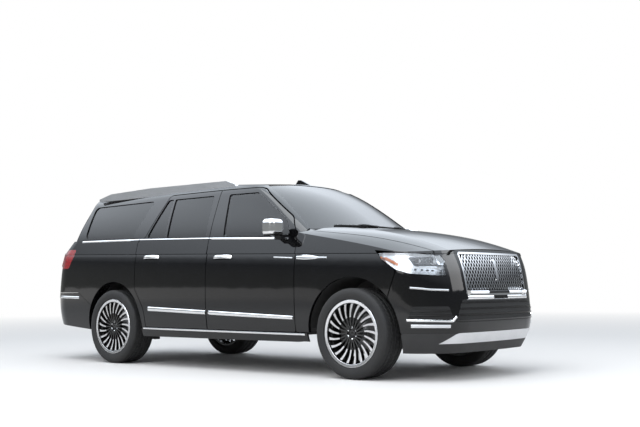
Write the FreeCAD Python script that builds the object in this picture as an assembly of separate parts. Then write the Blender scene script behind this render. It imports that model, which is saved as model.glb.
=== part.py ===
import FreeCAD, Part
import math
import os

os.makedirs("parts", exist_ok=True)

# Full-size long-wheelbase SUV in millimetres: +X forward, +Y left, +Z up,
# origin on the ground under the middle of the overall length.
V = FreeCAD.Vector

# Overall size and running gear
LENGTH = 5636.0
HALF_WIDTH = 1014.0
FRONT_OVERHANG = 940.0
WHEELBASE = 3342.0
HALF_TRACK = 855.0
X_NOSE = LENGTH / 2
X_TAIL = -LENGTH / 2
X_FRONT = X_NOSE - FRONT_OVERHANG
X_REAR = X_FRONT - WHEELBASE
TYRE_R = 398.0
TYRE_WIDTH = 285.0
RIM_FLANGE_R = 296.0
RIM_BARREL_R = 270.0

# Gaps and walls
SHUT_GAP = 7.5
HOLD_GAP = 0.3
PIN_GAP = 0.3
DOOR_FLANGE = 40.0
DOOR_STEP = 54.0
SIDE_WALL = 115.0
GREEN_WALL = 100.0
DOOR_LAP = 60.0
CORE_GAP = 12.0
FRAME_LAP = 45.0
FRAME_GAP = 9.0
HINGE_BACK = 20.0
HINGE_DEPTH = 18.0
HINGE_RELIEF = math.hypot(HINGE_BACK, HINGE_DEPTH) + 5.0
FENDER_WALL = 30.0
BUMPER_WALL = 60.0
LIFTGATE_WALL = 90.0
HOOD_WALL = 40.0
ROOF_WALL = 45.0
GLASS = 6.0
GLASS_DEPTH = 12.0

# Level planes of the body sides fall towards the front by this slope
BELT_SLOPE = -0.0255
CREASE_Z = 1150.0
BELT_Z = 1302.0
BELT_LAP = 12.0
ARCH_FRONT = (X_FRONT - 7, 398.0, 495.0)
ARCH_REAR = (X_REAR + 15, 400.0, 484.0)
WIDEST_X = -150.0
B_SHUT = 54.0

# Body sections: height at x = 0, slope, inset of nose, tail and side from the overall box,
# front corner radius, rear corner radius
LOWER_ROWS = [
    (235, 0.000, 96, 110, 92, 430, 330),
    (400, -0.004, 22, 42, 28, 480, 370),
    (560, -0.015, 2, 2, 7, 500, 380),
    (850, -0.020, 26, 40, 0, 500, 330),
    (1000, -0.024, 50, 72, 3, 490, 310),
    (CREASE_Z, BELT_SLOPE, 96, 118, 26, 470, 290),
]
SHOULDER_ROWS = [
    (CREASE_Z, BELT_SLOPE, 96, 120, 14, 470, 290),
    (BELT_Z, BELT_SLOPE, 150, 290, 50, 430, 250),
]
HOOD_ROWS = SHOULDER_ROWS + [(1480, BELT_SLOPE, 230, 500, 96, 380, 200)]
LOWER_BOWS = (5200.0, 3200.0, 42000.0)
# Greenhouse sections: height at x = 0, slope, nose x, tail x, half width, corner radii
GREEN_ROWS = [
    (BELT_Z - BELT_LAP, BELT_SLOPE, 1668, -2526, 960, 150, 200),
    (1450, -0.020, 1410, -2462, 916, 140, 190),
    (1600, -0.012, 1160, -2400, 862, 130, 180),
    (1750, 0.000, 880, -2340, 802, 120, 160),
    (1812, 0.000, 748, -2313, 764, 110, 150),
    (1856, 0.000, 640, -2292, 708, 100, 140),
    (1925, 0.000, 460, -2250, 560, 90, 120),
]
GREEN_BOWS = (1600.0, 3200.0, 25000.0)
SHOULDER_Y = 600.0
WING_Y = 850.0
# Bonnet and wing top: x, then heights at y = 0, SHOULDER_Y, WING_Y and 1040
HOOD_ARCHES = [
    (1100, 1426, 1411, 1368, 1280),
    (1775, 1350, 1334, 1262, 1130),
    (2300, 1255, 1231, 1150, 1030),
    (2571, 1176, 1147, 1078, 985),
    (2850, 1076, 1046, 1002, 940),
]
# Roof crown: x, then heights at y = 0, SHOULDER_Y and 1050
ROOF_ARCHES = [
    (-2700, 1858, 1836, 1790),
    (-1848, 1908, 1886, 1836),
    (-1134, 1920, 1898, 1848),
    (-300, 1910, 1886, 1830),
    (400, 1880, 1848, 1780),
    (1100, 1810, 1770, 1700),
    (1800, 1700, 1660, 1600),
]

# Door and window outlines in side view: x, z, corner radius
FRONT_DOOR = [
    (B_SHUT + SHUT_GAP / 2, 398, 12), (1220, 392, 30), (1220, 1270, 60),
    (1098, 1466, 200), (616, 1790, 150), (B_SHUT + SHUT_GAP / 2, 1797, 10),
]
REAR_DOOR = [
    (B_SHUT - SHUT_GAP / 2, 398, 12), (B_SHUT - SHUT_GAP / 2, 1797, 10), (-735, 1797, 60),
    (-965, 1352, 60), (-1064, 1306, 30), (-1066, 806, 80), (-914, 590, 300), (-900, 400, 12),
]
FRONT_WINDOW = [(249, 1312, 20), (1122, 1290, 30), (1036, 1462, 160), (592, 1744, 90), (190, 1748, 20)]
REAR_WINDOW = [(-4, 1320, 15), (-36, 1750, 20), (-640, 1752, 15), (-607, 1336, 15)]
REAR_PANE = [(-637, 1337, 12), (-670, 1752, 12), (-752, 1752, 40), (-935, 1372, 40), (-925, 1345, 12)]
QUARTER_WINDOW = [(-1199, 1357, 30), (-985, 1756, 30), (-2125, 1756, 60), (-2134, 1384, 60)]

made = {}


def box(x0, x1, y0, y1, z0, z1):
    return Part.makeBox(x1 - x0, y1 - y0, z1 - z0, V(x0, y0, z0))


def rod(start, end, radius):
    axis = V(*end) - V(*start)
    return Part.makeCylinder(radius, axis.Length, V(*start), axis)


def tube(start, end, outer, inner):
    return rod(start, end, outer).cut(rod(start, end, inner))


def fuse(*solids):
    return solids[0].multiFuse(list(solids[1:])).removeSplitter() if len(solids) > 1 else solids[0]


def mirrored(shape):
    return shape.mirror(V(0, 0, 0), V(0, 1, 0))


def save(name, *shapes):
    solids = [solid for shape in shapes for solid in shape.Solids]
    made[name] = Part.makeCompound(solids)


def both_sides(name, *shapes):
    save(name + "_left", *shapes)
    save(name + "_right", *[mirrored(shape) for shape in shapes])


def corner_wire(points, place):
    """Closed wire through corners (a, b, radius), each rounded by a tangent arc."""
    edges = []
    ends = []
    count = len(points)
    for i in range(count):
        before, here, after = points[i - 1], points[i], points[(i + 1) % count]
        u = V(before[0] - here[0], before[1] - here[1], 0).normalize()
        w = V(after[0] - here[0], after[1] - here[1], 0).normalize()
        corner = V(here[0], here[1], 0)
        radius = here[2] if len(here) > 2 else 0
        if radius <= 0:
            ends.append((corner, None, corner))
            continue
        half = u.getAngle(w) / 2
        run = radius / math.tan(half)
        centre = corner + (u + w).normalize() * (radius / math.sin(half))
        middle = centre + (corner - centre).normalize() * radius
        ends.append((corner + u * run, middle, corner + w * run))
    for i in range(count):
        start, middle, stop = ends[i]
        if middle is not None:
            edges.append(Part.Arc(place(start), place(middle), place(stop)).toShape())
        follow = ends[(i + 1) % count][0]
        if (follow - stop).Length > 1e-6:
            edges.append(Part.LineSegment(place(stop), place(follow)).toShape())
    return Part.Wire(edges)


def prism(points, place, travel, grow=0.0):
    wire = corner_wire(points, place)
    if grow:
        wire = wire.makeOffset2D(grow)
    return Part.Face(wire).extrude(travel)


def side_prism(points, y0=450.0, y1=1150.0, grow=0.0):
    return prism(points, lambda p: V(p.x, y0, p.y), V(0, y1 - y0, 0), grow)


def front_prism(points, x0, x1, grow=0.0):
    return prism(points, lambda p: V(x0, p.x, p.y), V(x1 - x0, 0, 0), grow)


def plan_prism(points, z0, z1, grow=0.0):
    return prism(points, lambda p: V(p.x, p.y, z0), V(0, 0, z1 - z0), grow)


def arc_band(first, second, z0, z1):
    """Vertical prism between two arcs in plan, each given by its middle x, end x and half width."""
    edges = []
    corners = []
    for middle_x, end_x, half in (first, second):
        a, b, c = V(end_x, -half, z0), V(middle_x, 0, z0), V(end_x, half, z0)
        edges.append((Part.LineSegment(a, c) if middle_x == end_x else Part.Arc(a, b, c)).toShape())
        corners.append((a, c))
    edges.append(Part.LineSegment(corners[0][0], corners[1][0]).toShape())
    edges.append(Part.LineSegment(corners[0][1], corners[1][1]).toShape())
    wire = Part.Wire(Part.__sortEdges__(edges))
    return Part.Face(wire).extrude(V(0, 0, z1 - z0))


def plan_outline(z0, slope, nose, tail, half, corner_front, corner_rear, bows, inset):
    """Left half of a plan outline: four tangent arcs (nose, corner, side, corner, tail) and a
    straight line along the middle plane, moved in by inset."""
    front_r, rear_r, side_r = [bow - inset for bow in bows]
    nose, tail, half = nose - inset, tail + inset, half - inset
    side_centre = V(WIDEST_X, half - side_r, 0)

    def corner(end, end_r, radius, sign):
        a, b = end_r - radius, side_r - radius
        gap = (side_centre - end).Length
        along = (a * a - b * b + gap * gap) / (2 * gap)
        off = math.sqrt(a * a - along * along)
        u = (side_centre - end).normalize()
        n = V(-u.y, u.x, 0)
        centre = max((end + u * along + n * off * s for s in (1, -1)), key=lambda p: sign * p.x)
        on_end = end + (centre - end).normalize() * end_r
        on_side = side_centre + (centre - side_centre).normalize() * side_r
        middle = centre + ((on_end - centre) + (on_side - centre)).normalize() * radius
        tip = end + V(sign * end_r, 0, 0)
        bow = end + ((on_end - end) + (tip - end)).normalize() * end_r
        return tip, bow, on_end, middle, on_side

    least = 12.0
    front = corner(V(nose - front_r, 0, 0), front_r, max(corner_front - inset, least), 1)
    rear = corner(V(tail + rear_r, 0, 0), rear_r, max(corner_rear - inset, least), -1)
    arcs = [
        front[:3],
        front[2:],
        (front[4], V(WIDEST_X, half, 0), rear[4]),
        (rear[4], rear[3], rear[2]),
        (rear[2], rear[1], rear[0]),
    ]
    edges = [Part.Arc(*arc).toShape() for arc in arcs]
    edges.append(Part.LineSegment(rear[0], front[0]).toShape())
    wire = Part.Wire(edges)
    tilt = -math.degrees(math.atan(slope))
    wire.Placement = FreeCAD.Placement(V(0, 0, z0), FreeCAD.Rotation(V(0, 1, 0), tilt))
    return wire


def body_loft(rows, inset=0.0):
    wires = []
    for z0, slope, nose_in, tail_in, side_in, corner_front, corner_rear in rows:
        wires.append(plan_outline(z0, slope, X_NOSE - nose_in, X_TAIL + tail_in,
                                  HALF_WIDTH - side_in, corner_front, corner_rear, LOWER_BOWS, inset))
    return Part.makeLoft(wires, True)


def arch_loft(rows, wide, bottom):
    """Left half of a loft along X under crowned sections: centre arc, then a shoulder to the side."""
    wires = []
    for row in rows:
        x, middle_z, inner_z = row[:3]
        radius = (SHOULDER_Y ** 2 + (middle_z - inner_z) ** 2) / (2 * (middle_z - inner_z))
        half_y = SHOULDER_Y / 2
        half_z = middle_z - radius + math.sqrt(radius ** 2 - half_y ** 2)
        inner, end = V(x, SHOULDER_Y, inner_z), V(x, wide, row[-1])
        edges = [Part.Arc(V(x, 0, middle_z), V(x, half_y, half_z), inner).toShape()]
        if len(row) > 4:
            edges.append(Part.Arc(inner, V(x, WING_Y, row[3]), end).toShape())
        else:
            edges.append(Part.LineSegment(inner, end).toShape())
        foot, middle = V(x, wide, bottom), V(x, 0, bottom)
        edges.append(Part.LineSegment(end, foot).toShape())
        edges.append(Part.LineSegment(foot, middle).toShape())
        edges.append(Part.LineSegment(middle, V(x, 0, middle_z)).toShape())
        wires.append(Part.Wire(edges))
    return Part.makeLoft(wires, True)


hood_arch = arch_loft(HOOD_ARCHES, 1040, 150)
roof_arch = arch_loft(ROOF_ARCHES, 1050, 1150)
LEFT = box(-3000, 3000, 0, 1200, 0, 2100)


def lowered(shape, drop):
    moved = shape.copy()
    moved.translate(V(0, 0, -drop))
    return moved


cache = {}


def kept(key, make):
    if key not in cache:
        cache[key] = make()
    return cache[key]


def hull(inset):
    """Left half of the body below the belt, solid, with its skin moved in by inset."""
    return kept(("hull", inset), lambda: body_loft(LOWER_ROWS, inset).fuse(body_loft(SHOULDER_ROWS, inset)))


def prow(inset):
    """Left half of the front of the body, under the bonnet line."""
    def make():
        ahead = box(1100, 2900, -10, 1100, 200, 1500)
        solid = body_loft(LOWER_ROWS, inset).fuse(body_loft(HOOD_ROWS, inset))
        return solid.common(ahead).common(lowered(hood_arch, inset))
    return kept(("prow", inset), make)


def greenhouse(inset):
    """Left half of the cabin above the belt."""
    def make():
        wires = [plan_outline(*row, GREEN_BOWS, inset) for row in GREEN_ROWS]
        return Part.makeLoft(wires, True).common(lowered(roof_arch, inset))
    return kept(("greenhouse", inset), make)


def layer(solid_at, outer, inner):
    """What lies between two depths under the skin of a solid."""
    return kept((solid_at.__name__, outer, inner), lambda: solid_at(outer).cut(solid_at(inner)))


def whole(half):
    return half.fuse(mirrored(half)).removeSplitter()


# Windscreen, roof and bonnet edges in plan: x at the middle, x at the end, half width
SCREEN_FOOT = (1492, 1284, 828)
SCREEN_HEAD = (648, 528, 640)
ROOF_HEAD = (SCREEN_HEAD[0] - 8, SCREEN_HEAD[1] - 8, 618)
ROOF_REAR = (-2205, -2205, 690)
HOOD_HEAD = (2700, 2652, 735)
HOOD_REAR = (1530, 1352, 850)
screen_prism = arc_band(SCREEN_FOOT, SCREEN_HEAD, 1200, 2000)
foot_x, foot_end, foot_half = SCREEN_FOOT
ahead = arc_band((2100, 2100, foot_half), (foot_x - 1, foot_end - 1, foot_half), 1200, 1700).fuse(
    box(foot_end - 1, 2100, foot_half - 1, 1100, 1200, 1700))
roof_prism = arc_band(ROOF_HEAD, ROOF_REAR, 1500, 2100)
hood_prism = arc_band(HOOD_HEAD, HOOD_REAR, 900, 1600)
hood_hole = arc_band([v + SHUT_GAP for v in HOOD_HEAD],
                     (HOOD_REAR[0] - SHUT_GAP, HOOD_REAR[1] - SHUT_GAP, HOOD_REAR[2] + SHUT_GAP), 900, 1600)

# Liftgate and its window from behind: y, z, corner radius
GATE = [(-872, 776, 60), (872, 776, 60), (884, 1250, 60), (812, 1420, 200), (700, 2000, 60),
        (-700, 2000, 60), (-812, 1420, 200), (-884, 1250, 60)]
GATE_WINDOW = [(-752, 1412, 70), (752, 1412, 70), (640, 1770, 60), (-640, 1770, 60)]


def gate_prism(grow=0.0):
    return front_prism(GATE, -3000, ROOF_REAR[0] - SHUT_GAP + grow, grow)


def arch_cut(arch, extra=0.0):
    x, z, radius = arch
    return rod((x, 500, z), (x, 1150, z), radius + extra)


def hinge(place, lead, normal, arm_drop, foot=0.0):
    """Pin hinge near a panel's edge: lead points to that edge, normal out of the skin.
    Gives the pocket in the panel, the panel's knuckle, and the pin with its arms."""
    pocket = box(-16, 40, -60, 8.5, -30, 30)
    knuckle = rod((0, 0, -20), (0, 0, 20), 7.5).fuse(box(-18, -5, -3, 3, -20, 20))
    knuckle = knuckle.cut(rod((0, 0, -21), (0, 0, 21), 4 + PIN_GAP))
    pin = [rod((0, 0, -28), (0, 0, 28), 4)]
    for z in (-28, 21):
        pin.append(rod((0, 0, z), (0, 0, z + 7), 6))
        pin.append(box(-6, 6, -arm_drop, 0, z, z + 7))
        if foot:
            pin.append(box(-6, foot, -arm_drop, -arm_drop + 8, z, z + 7))
            pin.append(box(foot - 12, foot, -arm_drop, -10, z, z + 7))
    turn = FreeCAD.Rotation(V(*lead), V(*normal), V(*lead).cross(V(*normal)), "XYZ")
    shapes = [pocket, knuckle, fuse(*pin)]
    for shape in shapes:
        shape.Placement = FreeCAD.Placement(V(*place), turn)
    return shapes


def door_hinges(lead_x, skin_y):
    x, y = lead_x - HINGE_BACK, skin_y - HINGE_DEPTH
    return [hinge((x, y, z), (1, 0, 0), (0, 1, 0), 46) for z in DOOR_HINGE_Z]


def door_relief(lead_x, skin_y):
    x, y = lead_x - HINGE_BACK, skin_y - HINGE_DEPTH
    return rod((x, y, 350), (x, y, 1400), HINGE_RELIEF)


def door(outline, window_outlines, hinges, spared):
    flange = layer(hull, 0, DOOR_FLANGE).common(side_prism(outline))
    core = layer(hull, DOOR_FLANGE, SIDE_WALL).common(side_prism(outline, grow=-DOOR_LAP))
    frame = layer(greenhouse, 0, DOOR_FLANGE).cut(layer(hull, DOOR_FLANGE, SIDE_WALL)).common(side_prism(outline))
    for window in window_outlines:
        frame = frame.cut(side_prism(window))
    solid = flange.fuse([core, frame]).cut([arch_cut(ARCH_REAR, 20)] + spared + [item[0] for item in hinges])
    return solid.fuse([item[1] for item in hinges])


def pane(prism_solid):
    return layer(greenhouse, GLASS_DEPTH, GLASS_DEPTH + GLASS).common(prism_solid)


DOOR_HINGE_Z = (620.0, 980.0)
FRONT_LEAD, FRONT_SKIN_Y = 1220.0, 993.0
REAR_LEAD, REAR_SKIN_Y = B_SHUT - SHUT_GAP / 2, HALF_WIDTH
front_hinges = door_hinges(FRONT_LEAD, FRONT_SKIN_Y)
rear_hinges = door_hinges(REAR_LEAD, REAR_SKIN_Y)
front_relief = door_relief(FRONT_LEAD, FRONT_SKIN_Y)
rear_relief = door_relief(REAR_LEAD, REAR_SKIN_Y)
# Room under the front door's mirror corner for the pillar foot that it swings over
foot_relief = box(FRONT_LEAD - DOOR_LAP, FRONT_LEAD + 10, 850, 895, 1260, 1278)
for place, outline, windows, hinges, spared in (
        ("front", FRONT_DOOR, [FRONT_WINDOW], front_hinges, [rear_relief, foot_relief]),
        ("rear", REAR_DOOR, [REAR_WINDOW, REAR_PANE], rear_hinges, [])):
    both_sides("door_" + place, door(outline, windows, hinges, spared))
    both_sides("glass_" + place, *[pane(side_prism(window)) for window in windows])

# Body sides with pillars, sill and quarter panel
X_SIDE_FRONT = 1220 + SHUT_GAP
SILL_Z = 305.0
BUMPER_SEAM = 4.0
REAR_BUMPER = [(-1880, 352, 0), (-2900, 430, 0), (-2900, 766, 0), (-2120, 766, 60), (-1880, 628, 0)]
side_space = box(-3000, X_SIDE_FRONT, 0, 1200, SILL_Z, 2100)
outer_side = layer(hull, 0, DOOR_STEP).common(side_space)
inner_side = layer(hull, DOOR_STEP, SIDE_WALL).common(side_space)
outer_green = layer(greenhouse, 0, DOOR_STEP).cut(ahead)
inner_green = layer(greenhouse, DOOR_STEP, GREEN_WALL).cut(ahead)
for outline in (FRONT_DOOR, REAR_DOOR):
    outer_side = outer_side.cut(side_prism(outline, grow=SHUT_GAP))
    outer_green = outer_green.cut(side_prism(outline, grow=FRAME_GAP))
    inner_side = inner_side.cut(side_prism(outline, grow=-DOOR_LAP + CORE_GAP))
    inner_green = inner_green.cut(side_prism(outline, grow=-FRAME_LAP))
TAIL_LAMP = [(-2200, 1262, 20), (-2291, 1124, 60), (-2334, 1047, 20), (-2950, 1036, 0), (-2950, 1268, 0)]
TAIL_LAMP_DEPTH = 45.0
side = outer_side.fuse([inner_side, outer_green, inner_green])
side = side.cut([screen_prism, roof_prism, gate_prism(SHUT_GAP), side_prism(QUARTER_WINDOW),
                 arch_cut(ARCH_REAR), side_prism(REAR_BUMPER, -10, 1200, BUMPER_SEAM), front_relief,
                 layer(hull, -1, TAIL_LAMP_DEPTH).common(side_prism(TAIL_LAMP, -10, 1200)),
                 box(-3000, ARCH_REAR[0], -10, 1200, 0, 430)])
side = max(side.Solids, key=lambda solid: solid.Volume)
side = side.fuse([item[2] for item in front_hinges + rear_hinges])
save("body_sides", side, mirrored(side))
tail_lamp = layer(hull, 0, TAIL_LAMP_DEPTH).common(side_prism(TAIL_LAMP, -10, 1200)).cut(gate_prism(SHUT_GAP))
save("tail_lamps", tail_lamp, mirrored(tail_lamp))

screen = pane(screen_prism)
quarter = pane(side_prism(QUARTER_WINDOW))
save("fixed_glass", whole(screen), quarter, mirrored(quarter))
FIN = [(370, 1850, 0), (580, 1850, 0), (580, 1868, 0), (450, 1934, 40), (410, 1937, 10), (370, 1890, 0)]

GATE_LAP = 50.0
gate_flanges = [layer(skin, 0, DOOR_FLANGE).common(gate_prism()) for skin in (hull, greenhouse)]
gate_cores = [layer(skin, DOOR_FLANGE, LIFTGATE_WALL).common(gate_prism(-GATE_LAP)) for skin in (hull, greenhouse)]
gate_hole = front_prism(GATE_WINDOW, -3000, -2000)
GATE_HINGE = (ROOF_REAR[0] - SHUT_GAP - HINGE_BACK, 350.0, 1867.0)
gate_hinge = hinge(GATE_HINGE, (1, 0, 0), (0, 0, 1), 44, 70)
gate_relief = rod((GATE_HINGE[0], -10, GATE_HINGE[2]), (GATE_HINGE[0], 1000, GATE_HINGE[2]),
                  math.hypot(HINGE_BACK, 28) + 5)
roof = layer(greenhouse, 0, ROOF_WALL).common(roof_prism).cut(gate_relief)
fin = prism(FIN, lambda p: V(p.x, 0, p.y), V(0, 14, 0))
save("roof_panel", whole(roof.fuse([gate_hinge[2], fin])))
gate = gate_flanges[0].fuse(gate_flanges[1:] + gate_cores).cut([gate_hole, gate_hinge[0]]).fuse(gate_hinge[1])
save("liftgate", whole(gate))
save("liftgate_glass", whole(pane(gate_hole)))

# Bonnet, wings and nose
FENDER = [(X_SIDE_FRONT, 398, 10), (X_SIDE_FRONT, 1500, 0), (2640, 1500, 0), (2640, 1071, 0), (2118, 1122, 0),
          (2193, 1033, 60), (2336, 945, 40), (2250, 720, 30), (2200, 398, 10)]
HEADLAMP = [(2126, 1117, 0), (2199, 1035, 60), (2340, 949, 40), (2454, 913, 60), (2850, 880, 0), (2850, 1052, 0)]
HEADLAMP_INNER_Y = 700.0
BUMPER = [(2201, 404, 0), (2900, 404, 0), (2900, 1300, 0), (2644, 1300, 0), (2644, 1000, 0),
          (2344, 942, 40), (2258, 716, 30)]
GRILLE = [(-522, 1099, 26), (522, 1099, 26), (508, 722, 30), (-508, 722, 30)]
GRILLE_FRAME = 18.0
HOOD_HINGE = (1392.0, 800.0, 1320.0)
FENDER_TAB_Y = 828.0
hood_hinge = hinge(HOOD_HINGE, (-1, 0, 0), (0, 0, 1), 60)
top_skin = hood_arch.cut(lowered(hood_arch, HOOD_WALL)).common(prow(0))
bonnet = top_skin.common(hood_prism).cut(hood_hinge[0]).fuse(hood_hinge[1])
save("hood", whole(bonnet))
bonnet_space = hood_arch.cut(lowered(hood_arch, HOOD_WALL + SHUT_GAP)).common(hood_hole)

fender = layer(prow, 0, FENDER_WALL).common(side_prism(FENDER, 500))
behind_hood = arc_band((HOOD_REAR[0] + 20, HOOD_REAR[1] + 20, FENDER_TAB_Y), (1200, 1200, FENDER_TAB_Y), 1200, 1500)
fender = fender.cut([arch_cut(ARCH_FRONT), hood_hole, behind_hood, greenhouse(0).cut(ahead), screen_prism])
save("fenders", fender, mirrored(fender))

lamp_prism = side_prism(HEADLAMP, HEADLAMP_INNER_Y, 1150)
lamp = layer(prow, 0, 90).common(lamp_prism).cut(hood_hole)
save("headlamps", lamp, mirrored(lamp))

lamp_hole = side_prism(HEADLAMP, HEADLAMP_INNER_Y - BUMPER_SEAM, 1150, BUMPER_SEAM)
nose = layer(prow, 0, BUMPER_WALL).common(side_prism(BUMPER, -10, 1150))
nose = nose.cut([arch_cut(ARCH_FRONT), hood_hole, lamp_hole, front_prism(GRILLE, 2400, 2900)])
save("front_bumper", whole(nose))
bars = layer(prow, 30, 40).common(front_prism(GRILLE, 2400, 2900, -HOLD_GAP))
frame = layer(prow, 0, 55).common(front_prism(GRILLE, 2400, 2900, -HOLD_GAP))
frame = frame.cut(front_prism(GRILLE, 2400, 2900, -GRILLE_FRAME))
save("grille", whole(frame.fuse(bars).cut(bonnet_space)))

rear = layer(hull, 0, BUMPER_WALL).common(side_prism(REAR_BUMPER, -10, 1150)).cut(arch_cut(ARCH_REAR))
save("rear_bumper", whole(rear))

# Sill covers, roof rails, cowl, wheel arch liners
STEP_OUT = 18.0
step_layer = hull(-STEP_OUT).cut(hull(0)).common(box(-956, 1368, 500, 1200, 312, 390))
save("running_boards", step_layer, mirrored(step_layer))

RAIL_Y = (699.0, 741.0)
RAIL = [(-2046, 1815, 0), (-1836, 1815, 0), (80, 1815, 0), (236, 1815, 0), (196, 1858, 20),
        (70, 1899, 80), (-1134, 1912, 2000), (-1830, 1894, 120), (-2046, 1846, 10)]
rail = side_prism(RAIL, *RAIL_Y).cut(greenhouse(0))
rail = max(rail.Solids, key=lambda solid: solid.BoundBox.ZMax)
save("roof_rails", rail, mirrored(rail))

COWL_GAP = SHUT_GAP + 2
COWL_HALF = 814.0
cowl_prism = arc_band((HOOD_REAR[0] - COWL_GAP, HOOD_REAR[1] - COWL_GAP, COWL_HALF),
                      (1330, X_SIDE_FRONT + 4, COWL_HALF), 1200, 1600)
COWL_DROP = 62.0
cowl_top = lowered(hood_arch, COWL_DROP).cut(lowered(hood_arch, COWL_DROP + 30)).common(prow(FENDER_WALL + HOLD_GAP))
cowl_top = cowl_top.common(cowl_prism)
bracket = box(HOOD_HINGE[0] - 60, HOOD_HINGE[0] + 6, HOOD_HINGE[1] - 28, HOOD_HINGE[1] + 28, 1240, HOOD_HINGE[2] - 45)
save("cowl", whole(max(cowl_top.Solids, key=lambda solid: solid.Volume).fuse([bracket, hood_hinge[2]])))

LINER = 8.0
LINER_INNER_Y = {"front": 505.0, "rear": 672.0}
liners = []
for place, arch, wall in (("front", ARCH_FRONT, FENDER_WALL), ("rear", ARCH_REAR, SIDE_WALL)):
    x, z, radius = arch
    inner_y = LINER_INNER_Y[place]
    shell = rod((x, inner_y, z), (x, 1100, z), radius + LINER + 4)
    hollow = rod((x, inner_y + (LINER if place == "rear" else -1), z), (x, 1100, z), radius + 4)
    inside = prow(wall + HOLD_GAP) if place == "front" else hull(wall + HOLD_GAP)
    shell = shell.cut(hollow).common(box(x - 600, x + 600, 0, 1100, 430, 1100)).common(inside)
    if place == "front":
        shell = shell.cut(layer(prow, FENDER_WALL, BUMPER_WALL + HOLD_GAP).common(side_prism(BUMPER, -10, 1150, 1)))
    if place == "rear":
        shell = shell.cut(box(X_REAR - 150, X_REAR + 150, 0, inner_y + 2 * LINER, 400, 560))
    liners += [shell, mirrored(shell)]
save("arch_liners", *liners)

# Chassis: two side rails in side view (x, z), and cross members at x with their heights
FRAME_RAIL = [(2560, 440, 20), (1360, 440, 60), (1200, 385, 60), (-950, 385, 60), (-1120, 440, 60), (-2660, 440, 20),
              (-2660, 560, 20), (-1150, 560, 60), (-980, 505, 60), (1230, 505, 60), (1390, 560, 60), (2560, 560, 20)]
RAIL_IN, RAIL_OUT = 430.0, 505.0
FLOOR_Z, FLOOR_TOP = 562.0, 598.0
CROSS_HALF = 40.0
CROSS_MEMBERS = [(2500, 450, 550), (1728, 442, 492), (620, 330, 386),
                 (-1000, 462, 545), (X_REAR, 519, 560), (-1770, 450, 540), (-2600, 450, 540)]
HITCH_OUT, HITCH_IN, HITCH_Z = 63.5, 51.2, 383.0
HITCH_END, HITCH_DEPTH = -2745.0, 150.0
HITCH_PIN_R, HITCH_PIN_BACK = 8.0, 60.0
KINGPIN_Y = 775.0
BALL_Y = KINGPIN_Y - 10
BALL_TOP, BALL_LOW = 182.0, -128.0
LOW_ARM_Z = TYRE_R + BALL_LOW + 14 - HOLD_GAP - 30
TOP_ARM_Z = TYRE_R + BALL_TOP - 14 + HOLD_GAP
ARM_THICK = 30.0
# Arms by axle: pivot spread each way along x, height of the lower face
ARMS = {"front": [(190, LOW_ARM_Z), (150, TOP_ARM_Z)], "rear": [(190, LOW_ARM_Z), (150, 500)]}
BUSH_R, BUSH_LONG, PIVOT_Y = 24.0, 44.0, RAIL_OUT + 26
RACK_X, RACK_Z, RACK_R = X_FRONT - 150, 338.0, 28.0
ENGINE = (1560, 2230, 330, 500, 1060)


def pipe(points, radius):
    pieces = [rod(a, b, radius) for a, b in zip(points, points[1:])]
    pieces += [Part.makeSphere(radius, V(*p)) for p in points[1:-1]]
    return fuse(*pieces)


chassis = [side_prism(FRAME_RAIL, RAIL_IN, RAIL_OUT)]
for x, z0, z1 in CROSS_MEMBERS:
    chassis.append(box(x - CROSS_HALF, x + CROSS_HALF, -1, RAIL_IN + 10, z0, z1))
for place, axle_x in (("front", X_FRONT), ("rear", X_REAR)):
    for spread, z in ARMS[place]:
        for s in (1, -1):
            middle = axle_x + s * (spread - 30)
            for gap_side in (1, -1):
                edge = middle + gap_side * (BUSH_LONG / 2 + HOLD_GAP + 4)
                low, high = min(z - 10, 470), max(z + 40, 470)
                chassis.append(box(edge - 4, edge + 4, RAIL_OUT - 30, PIVOT_Y + 20, low, high))
chassis.append(box(RACK_X - 25, RACK_X + 25, 300, 340, RACK_Z + RACK_R + HOLD_GAP, 445))
chassis.append(box(1820, 1900, ENGINE[2] + HOLD_GAP, RAIL_IN + 5, 510, 548))
chassis.append(box(HITCH_END, -2585, -1, HITCH_OUT / 2, HITCH_Z - HITCH_OUT / 2, HITCH_Z + HITCH_OUT / 2))
chassis.append(box(-2635, -2585, -1, 90, HITCH_Z + HITCH_OUT / 2 - 5, 455))
half_frame = fuse(*chassis)
receiver = box(HITCH_END - 1, HITCH_END + HITCH_DEPTH, -5, HITCH_IN / 2, HITCH_Z - HITCH_IN / 2, HITCH_Z + HITCH_IN / 2)
pin_x = HITCH_END + HITCH_PIN_BACK
pin_hole = rod((pin_x, -10, HITCH_Z), (pin_x, 50, HITCH_Z), HITCH_PIN_R)
save("ladder_frame", whole(half_frame.cut([receiver, pin_hole]).common(LEFT)))

# Floor, tunnel, front wall, aprons, wheel houses and rear panel inside the body shell
inside = hull(SIDE_WALL + HOLD_GAP)
APRON_IN, APRON_OUT = 492.0, 504.0
floor = fuse(box(-2760, 1214, 0, 1100, FLOOR_Z, FLOOR_TOP), box(1184, 1214, 0, 1100, FLOOR_Z, 1225),
             box(-900, 1184, 0, 165, FLOOR_Z, 692)).cut(box(-920, 1250, -1, 145, 500, 672)).common(inside)
house_y = LINER_INNER_Y["rear"]
clear = rod((ARCH_REAR[0], house_y - HOLD_GAP, ARCH_REAR[1]), (ARCH_REAR[0], 1200, ARCH_REAR[1]),
            ARCH_REAR[2] + LINER + 4 + HOLD_GAP)
house = rod((ARCH_REAR[0], house_y - 30, ARCH_REAR[1]), (ARCH_REAR[0], 1200, ARCH_REAR[1]),
            ARCH_REAR[2] + LINER + 34).common(box(-2560, 0, 0, 1200, FLOOR_TOP, 1200)).common(inside)
rear_panel = layer(hull, BUMPER_WALL + 2, SIDE_WALL + HOLD_GAP).common(box(-2900, -2350, 0, 1200, FLOOR_Z, 762))
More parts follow.
